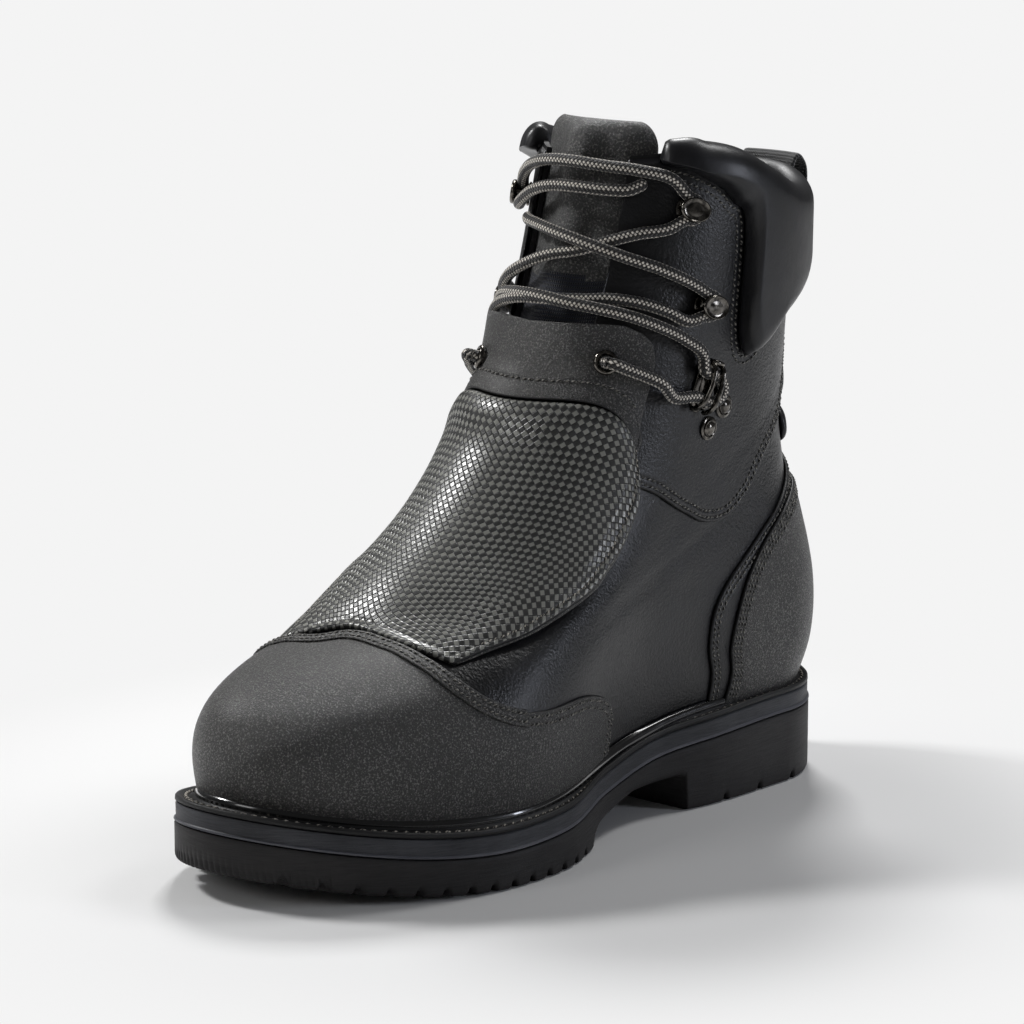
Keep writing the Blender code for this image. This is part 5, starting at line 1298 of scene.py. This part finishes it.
def make_lock(name, level, degrees):
    """Locking hook: a plate whose two wire arms bow over the lace, a wire loop behind it and two washered rivets."""
    side = -1 if degrees < 0 else 1
    centre, normal, across, up = surface_frame(degrees, level, SEAT)
    long, high = LOCK_INSIDE_HALF + LOCK_THICK, LOCK_INSIDE_HIGH + LOCK_THICK
    bow = ((-1.0, None), (-0.98, 0.45), (-0.78, 0.95), (-0.30, 1.16), (0.30, 1.18), (0.78, 1.00), (0.99, 0.50),
           (1.0, None))
    sheets = []
    for shift in (-1, 1):
        path = [centre + up * long * a + normal * (0.0008 if h is None else high * h)
                + across * shift * wide * LOCK_WIDTH / 2 for (a, h), wide in zip(bow, np.linspace(1.25, 0.62, 8))]
        sheets.append(tube(through(path, 60), WIRE_RADIUS, across))
    lip = np.array([centre + up * long * 0.98 + normal * (high * 0.72 + 0.0014 * math.cos(t)) +
                    across * LOCK_WIDTH * 0.42 * math.sin(t) for t in np.linspace(-2.2, 2.2, 24)])
    sheets.append(tube(lip, WIRE_RADIUS, up))
    wire = np.array([centre + (across * side * a + up * b + normal * h) * MM for a, b, h in (
        (1.5, 6.0, 1.4), (4.5, 3.0, 1.3), (8.0, -1.0, 1.2), (8.6, -3.6, 1.2), (6.4, -6.0, 1.2), (2.0, -8.4, 1.3),
        (-1.5, -9.6, 1.4))])
    sheets.append(tube(through(wire, 70), 0.9 * WIRE_RADIUS, normal))
    turn = np.linspace(0, 2 * np.pi, 49)[:, None]
    reach = 1 / (np.abs(np.cos(turn)) ** 2.6 + np.abs(np.sin(turn)) ** 2.6) ** (1 / 2.6)
    plate = reach * (across * np.cos(turn) * LOCK_WIDTH * 0.75 + up * np.sin(turn) * long * 1.08)
    sheets.append(sheet(np.stack([centre + plate * share + normal * height * MM for share, height in (
        (0, 0.1), (0.97, 0.1), (1.0, 0.3), (0.98, 0.7), (0.94, 0.85), (0.0, 0.9))])))
    nodes = ["lock_hook_" + name]
    for number, (back, drop) in enumerate(RIVETS[name], 1):
        rivet = surface_frame(degrees + side * back, level - drop, SEAT)
        profile = ((0, 0), (1.52, 0.0), (1.56, 0.12), (1.50, 0.26), (1.16, 0.30), (1.18, 0.50), (1.10, 0.72),
                   (0.98, 0.70), (0.92, 0.62), (0.70, 0.95), (0.35, 1.18), (0, 1.25))
        sheets.append(turned(profile, rivet, (RIVET_RADIUS, RIVET_HEIGHT), 36))
        nodes.append("rivet_%s_%d" % (name, number))
    piece("lock_%s_plated" % name, sheets, [metal], nodes, 60)


def make_eyelet(name, level, degrees):
    """Eyelet: a rolled flange on the flap round a barrel with an open bore."""
    flange, bore = EYELET_FLANGE, EYELET_BORE
    profile = ((flange * 0.98, 0.0001), (flange, 0.0005), (flange * 0.95, 0.0011), (flange * 0.82, 0.0016),
               (flange * 0.70, 0.0015), (bore * 1.05, 0.0009), (bore, -0.0006), (bore, -0.0024),
               (bore * 1.2, -0.0024), (bore * 1.2, 0.0001), (flange * 0.98, 0.0001))
    base = surface_frame(degrees, level, flap_out(level, degrees))
    piece("eyelet_%s_plated" % name, [turned(profile, base)], [metal], ["guard_eyelet_" + name], 60)


def lace_nodes(rows):
    """Points and outward normals along one run of the lace."""
    degrees, level, stand = np.array(rows).T
    return list(zip(*standing(np.radians(degrees), level, stand * MM)))


def round_hook(name, turns):
    """Points where the lace goes round a hook's neck; turns are degrees from the way round the foot."""
    level, degrees = {row[0]: row[1:] for row in HOOKS}[name]
    centre, normal, across, up = surface_frame(degrees, level, SEAT + LACE_ON_HOOK)
    return [(centre + LACE_OFF_AXIS * (math.cos(turn) * across + math.sin(turn) * up), normal)
            for turn in np.radians(turns)]


def through_lock(name, shares):
    """Points where the lace passes under the locking hook; shares of its length and of its width."""
    level, degrees = {row[0]: row[1:] for row in LOCKS}[name]
    height = SEAT + LOCK_THICK + LOCK_INSIDE_HIGH / 2 + GAP
    centre, normal, across, up = surface_frame(degrees, level, height)
    return [(centre + up * along * LOCK_INSIDE_HALF + across * wide * LOCK_WIDTH, normal) for along, wide in shares]


def from_eyelet(level, degrees):
    """The lace's first points, up out of a guard eyelet."""
    centre, normal, across = surface_frame(degrees, level, flap_out(level, degrees))[:3]
    away = across if degrees > 0 else -across
    return [(centre - normal * 0.002, normal), (centre + normal * 0.0016, normal),
            (centre + normal * 0.0046 + away * 0.0012, unit(away + normal))]


def make_lace():
    """The lace over the tongue, as two cords that cross, and the short run on the inner side.

    Each is a circle carried on a cubic curve through its points, with its length in the UV.
    """
    first = from_eyelet(*GUARD_EYELETS[0][1:]) + lace_nodes(EYELET_TO_LOCK)
    first += through_lock("outer", ((-0.62, -0.9), (-0.62, 0.5), (-0.40, 1.15), (0.0, 1.40), (0.40, 1.15),
                                    (0.62, 0.5), (0.62, -0.9)))
    first += lace_nodes(LOCK_TO_INNER_2) + round_hook("inner_2", (275, 235, 195, 155, 115))
    first += lace_nodes(INNER_2_TO_OUTER_1) + round_hook("outer_1", (-100, -60, -20, 20, 60, 95))
    first += lace_nodes(OUTER_1_TO_INNER_1) + round_hook("inner_1", (85, 125, 160, 195, 235, 275))
    first += lace_nodes(INNER_1_TO_END)
    second = through_lock("inner", ((0.45, -0.9), (0.45, 0.9))) + lace_nodes(LOCK_TO_OUTER_2)
    second += round_hook("outer_2", (-100, -60, -20, 20, 60, 100)) + lace_nodes(OUTER_2_TO_END)
    third = from_eyelet(*GUARD_EYELETS[1][1:]) + lace_nodes(INNER_EYELET_TO_LOCK)
    third += through_lock("inner", ((-0.5, 0.9), (-0.5, -0.9)))
    cords = []
    for nodes in (first, second, third):
        both = through([[*point, *(normal * MM)] for point, normal in nodes], 13 * len(nodes))
        cords.append(tube(both[:, :3], LACE_LOOKS, unit(both[:, 3:]), 14))
    piece("lace_braided", cords, [cord], ["lace"])


def stand_up(name, data, location, target=None):
    """An object in the scene; a lamp or camera is turned so that it looks at its target."""
    made = bpy.data.objects.new(name, data)
    bpy.context.scene.collection.objects.link(made)
    made.location = location
    if target:
        way = np.array(target) - np.array(made.location)
        made.rotation_euler = (math.atan2(math.hypot(way[0], way[1]), -way[2]), 0.0, math.atan2(-way[0], way[1]))
    return made


def softbox(name, place_at, target, size, watts, tint="#ffffff"):
    """A rectangular softbox."""
    data = bpy.data.lights.new(name, "AREA")
    data.shape = "RECTANGLE"
    data.size, data.size_y = size
    data.energy = watts
    data.color = linear(tint)[:3]
    stand_up(name, data, place_at, target)


def make_studio():
    """Camera at the photograph's angle, pale floor and soft lights."""
    data = bpy.data.cameras.new("camera")
    data.lens = 150.0
    data.sensor_width = 36.0
    data.clip_end = 60.0
    bpy.context.scene.camera = stand_up("camera", data, (1.0565, -1.1813, 0.459), (0.000, -0.008, 0.122))
    mesh = bpy.data.meshes.new("floor")
    mesh.from_pydata([(x * FLOOR_HALF, y * FLOOR_HALF, 0) for x, y in ((-1, -1), (1, -1), (1, 1), (-1, 1))], [],
                     [(0, 1, 2, 3)])
    mesh.materials.append(pale_floor())
    stand_up("floor", mesh, (0, 0, 0))
    softbox("key", (-0.62, 0.72, 1.30), (0.0, -0.05, 0.10), (0.32, 0.32), 14.0)
    softbox("back_top", (0.25, 0.80, 1.30), (0.0, -0.05, 0.10), (0.35, 0.35), 5.0)
    softbox("left", (-1.05, -0.40, 1.10), (0.0, -0.10, 0.10), (0.25, 0.25), 14.0)
    softbox("front", (-0.30, -1.35, 0.80), (0.0, -0.10, 0.10), (0.50, 0.50), 2.5)
    softbox("side", (1.20, 0.65, 0.40), (0.0, 0.0, 0.10), (0.20, 0.40), 3.6, "#e4e9f6")
    world = bpy.data.worlds.new("studio_air")
    world.use_nodes = True
    world.node_tree.nodes["Background"].inputs[0].default_value = linear("#f3f3f3")
    world.node_tree.nodes["Background"].inputs[1].default_value = 0.10
    bpy.context.scene.world = world
    bpy.context.scene.view_settings.view_transform = "Standard"


make_studio()
make_sole()
make_welt()
make_insole()
make_upper()
make_overlays()
make_collar_pad()
make_back_rolls()
make_pull_loop()
make_tongue()
make_shield()
make_backing()
make_flap()
for hook in HOOKS:
    make_hook(*hook)
for lock in LOCKS:
    make_lock(*lock)
for eyelet in GUARD_EYELETS:
    make_eyelet(*eyelet)
make_lace()
piece("seam_thread", seams, [black_thread], ())
piece("flecked_thread", fleck_seams, [fleck_thread], ())
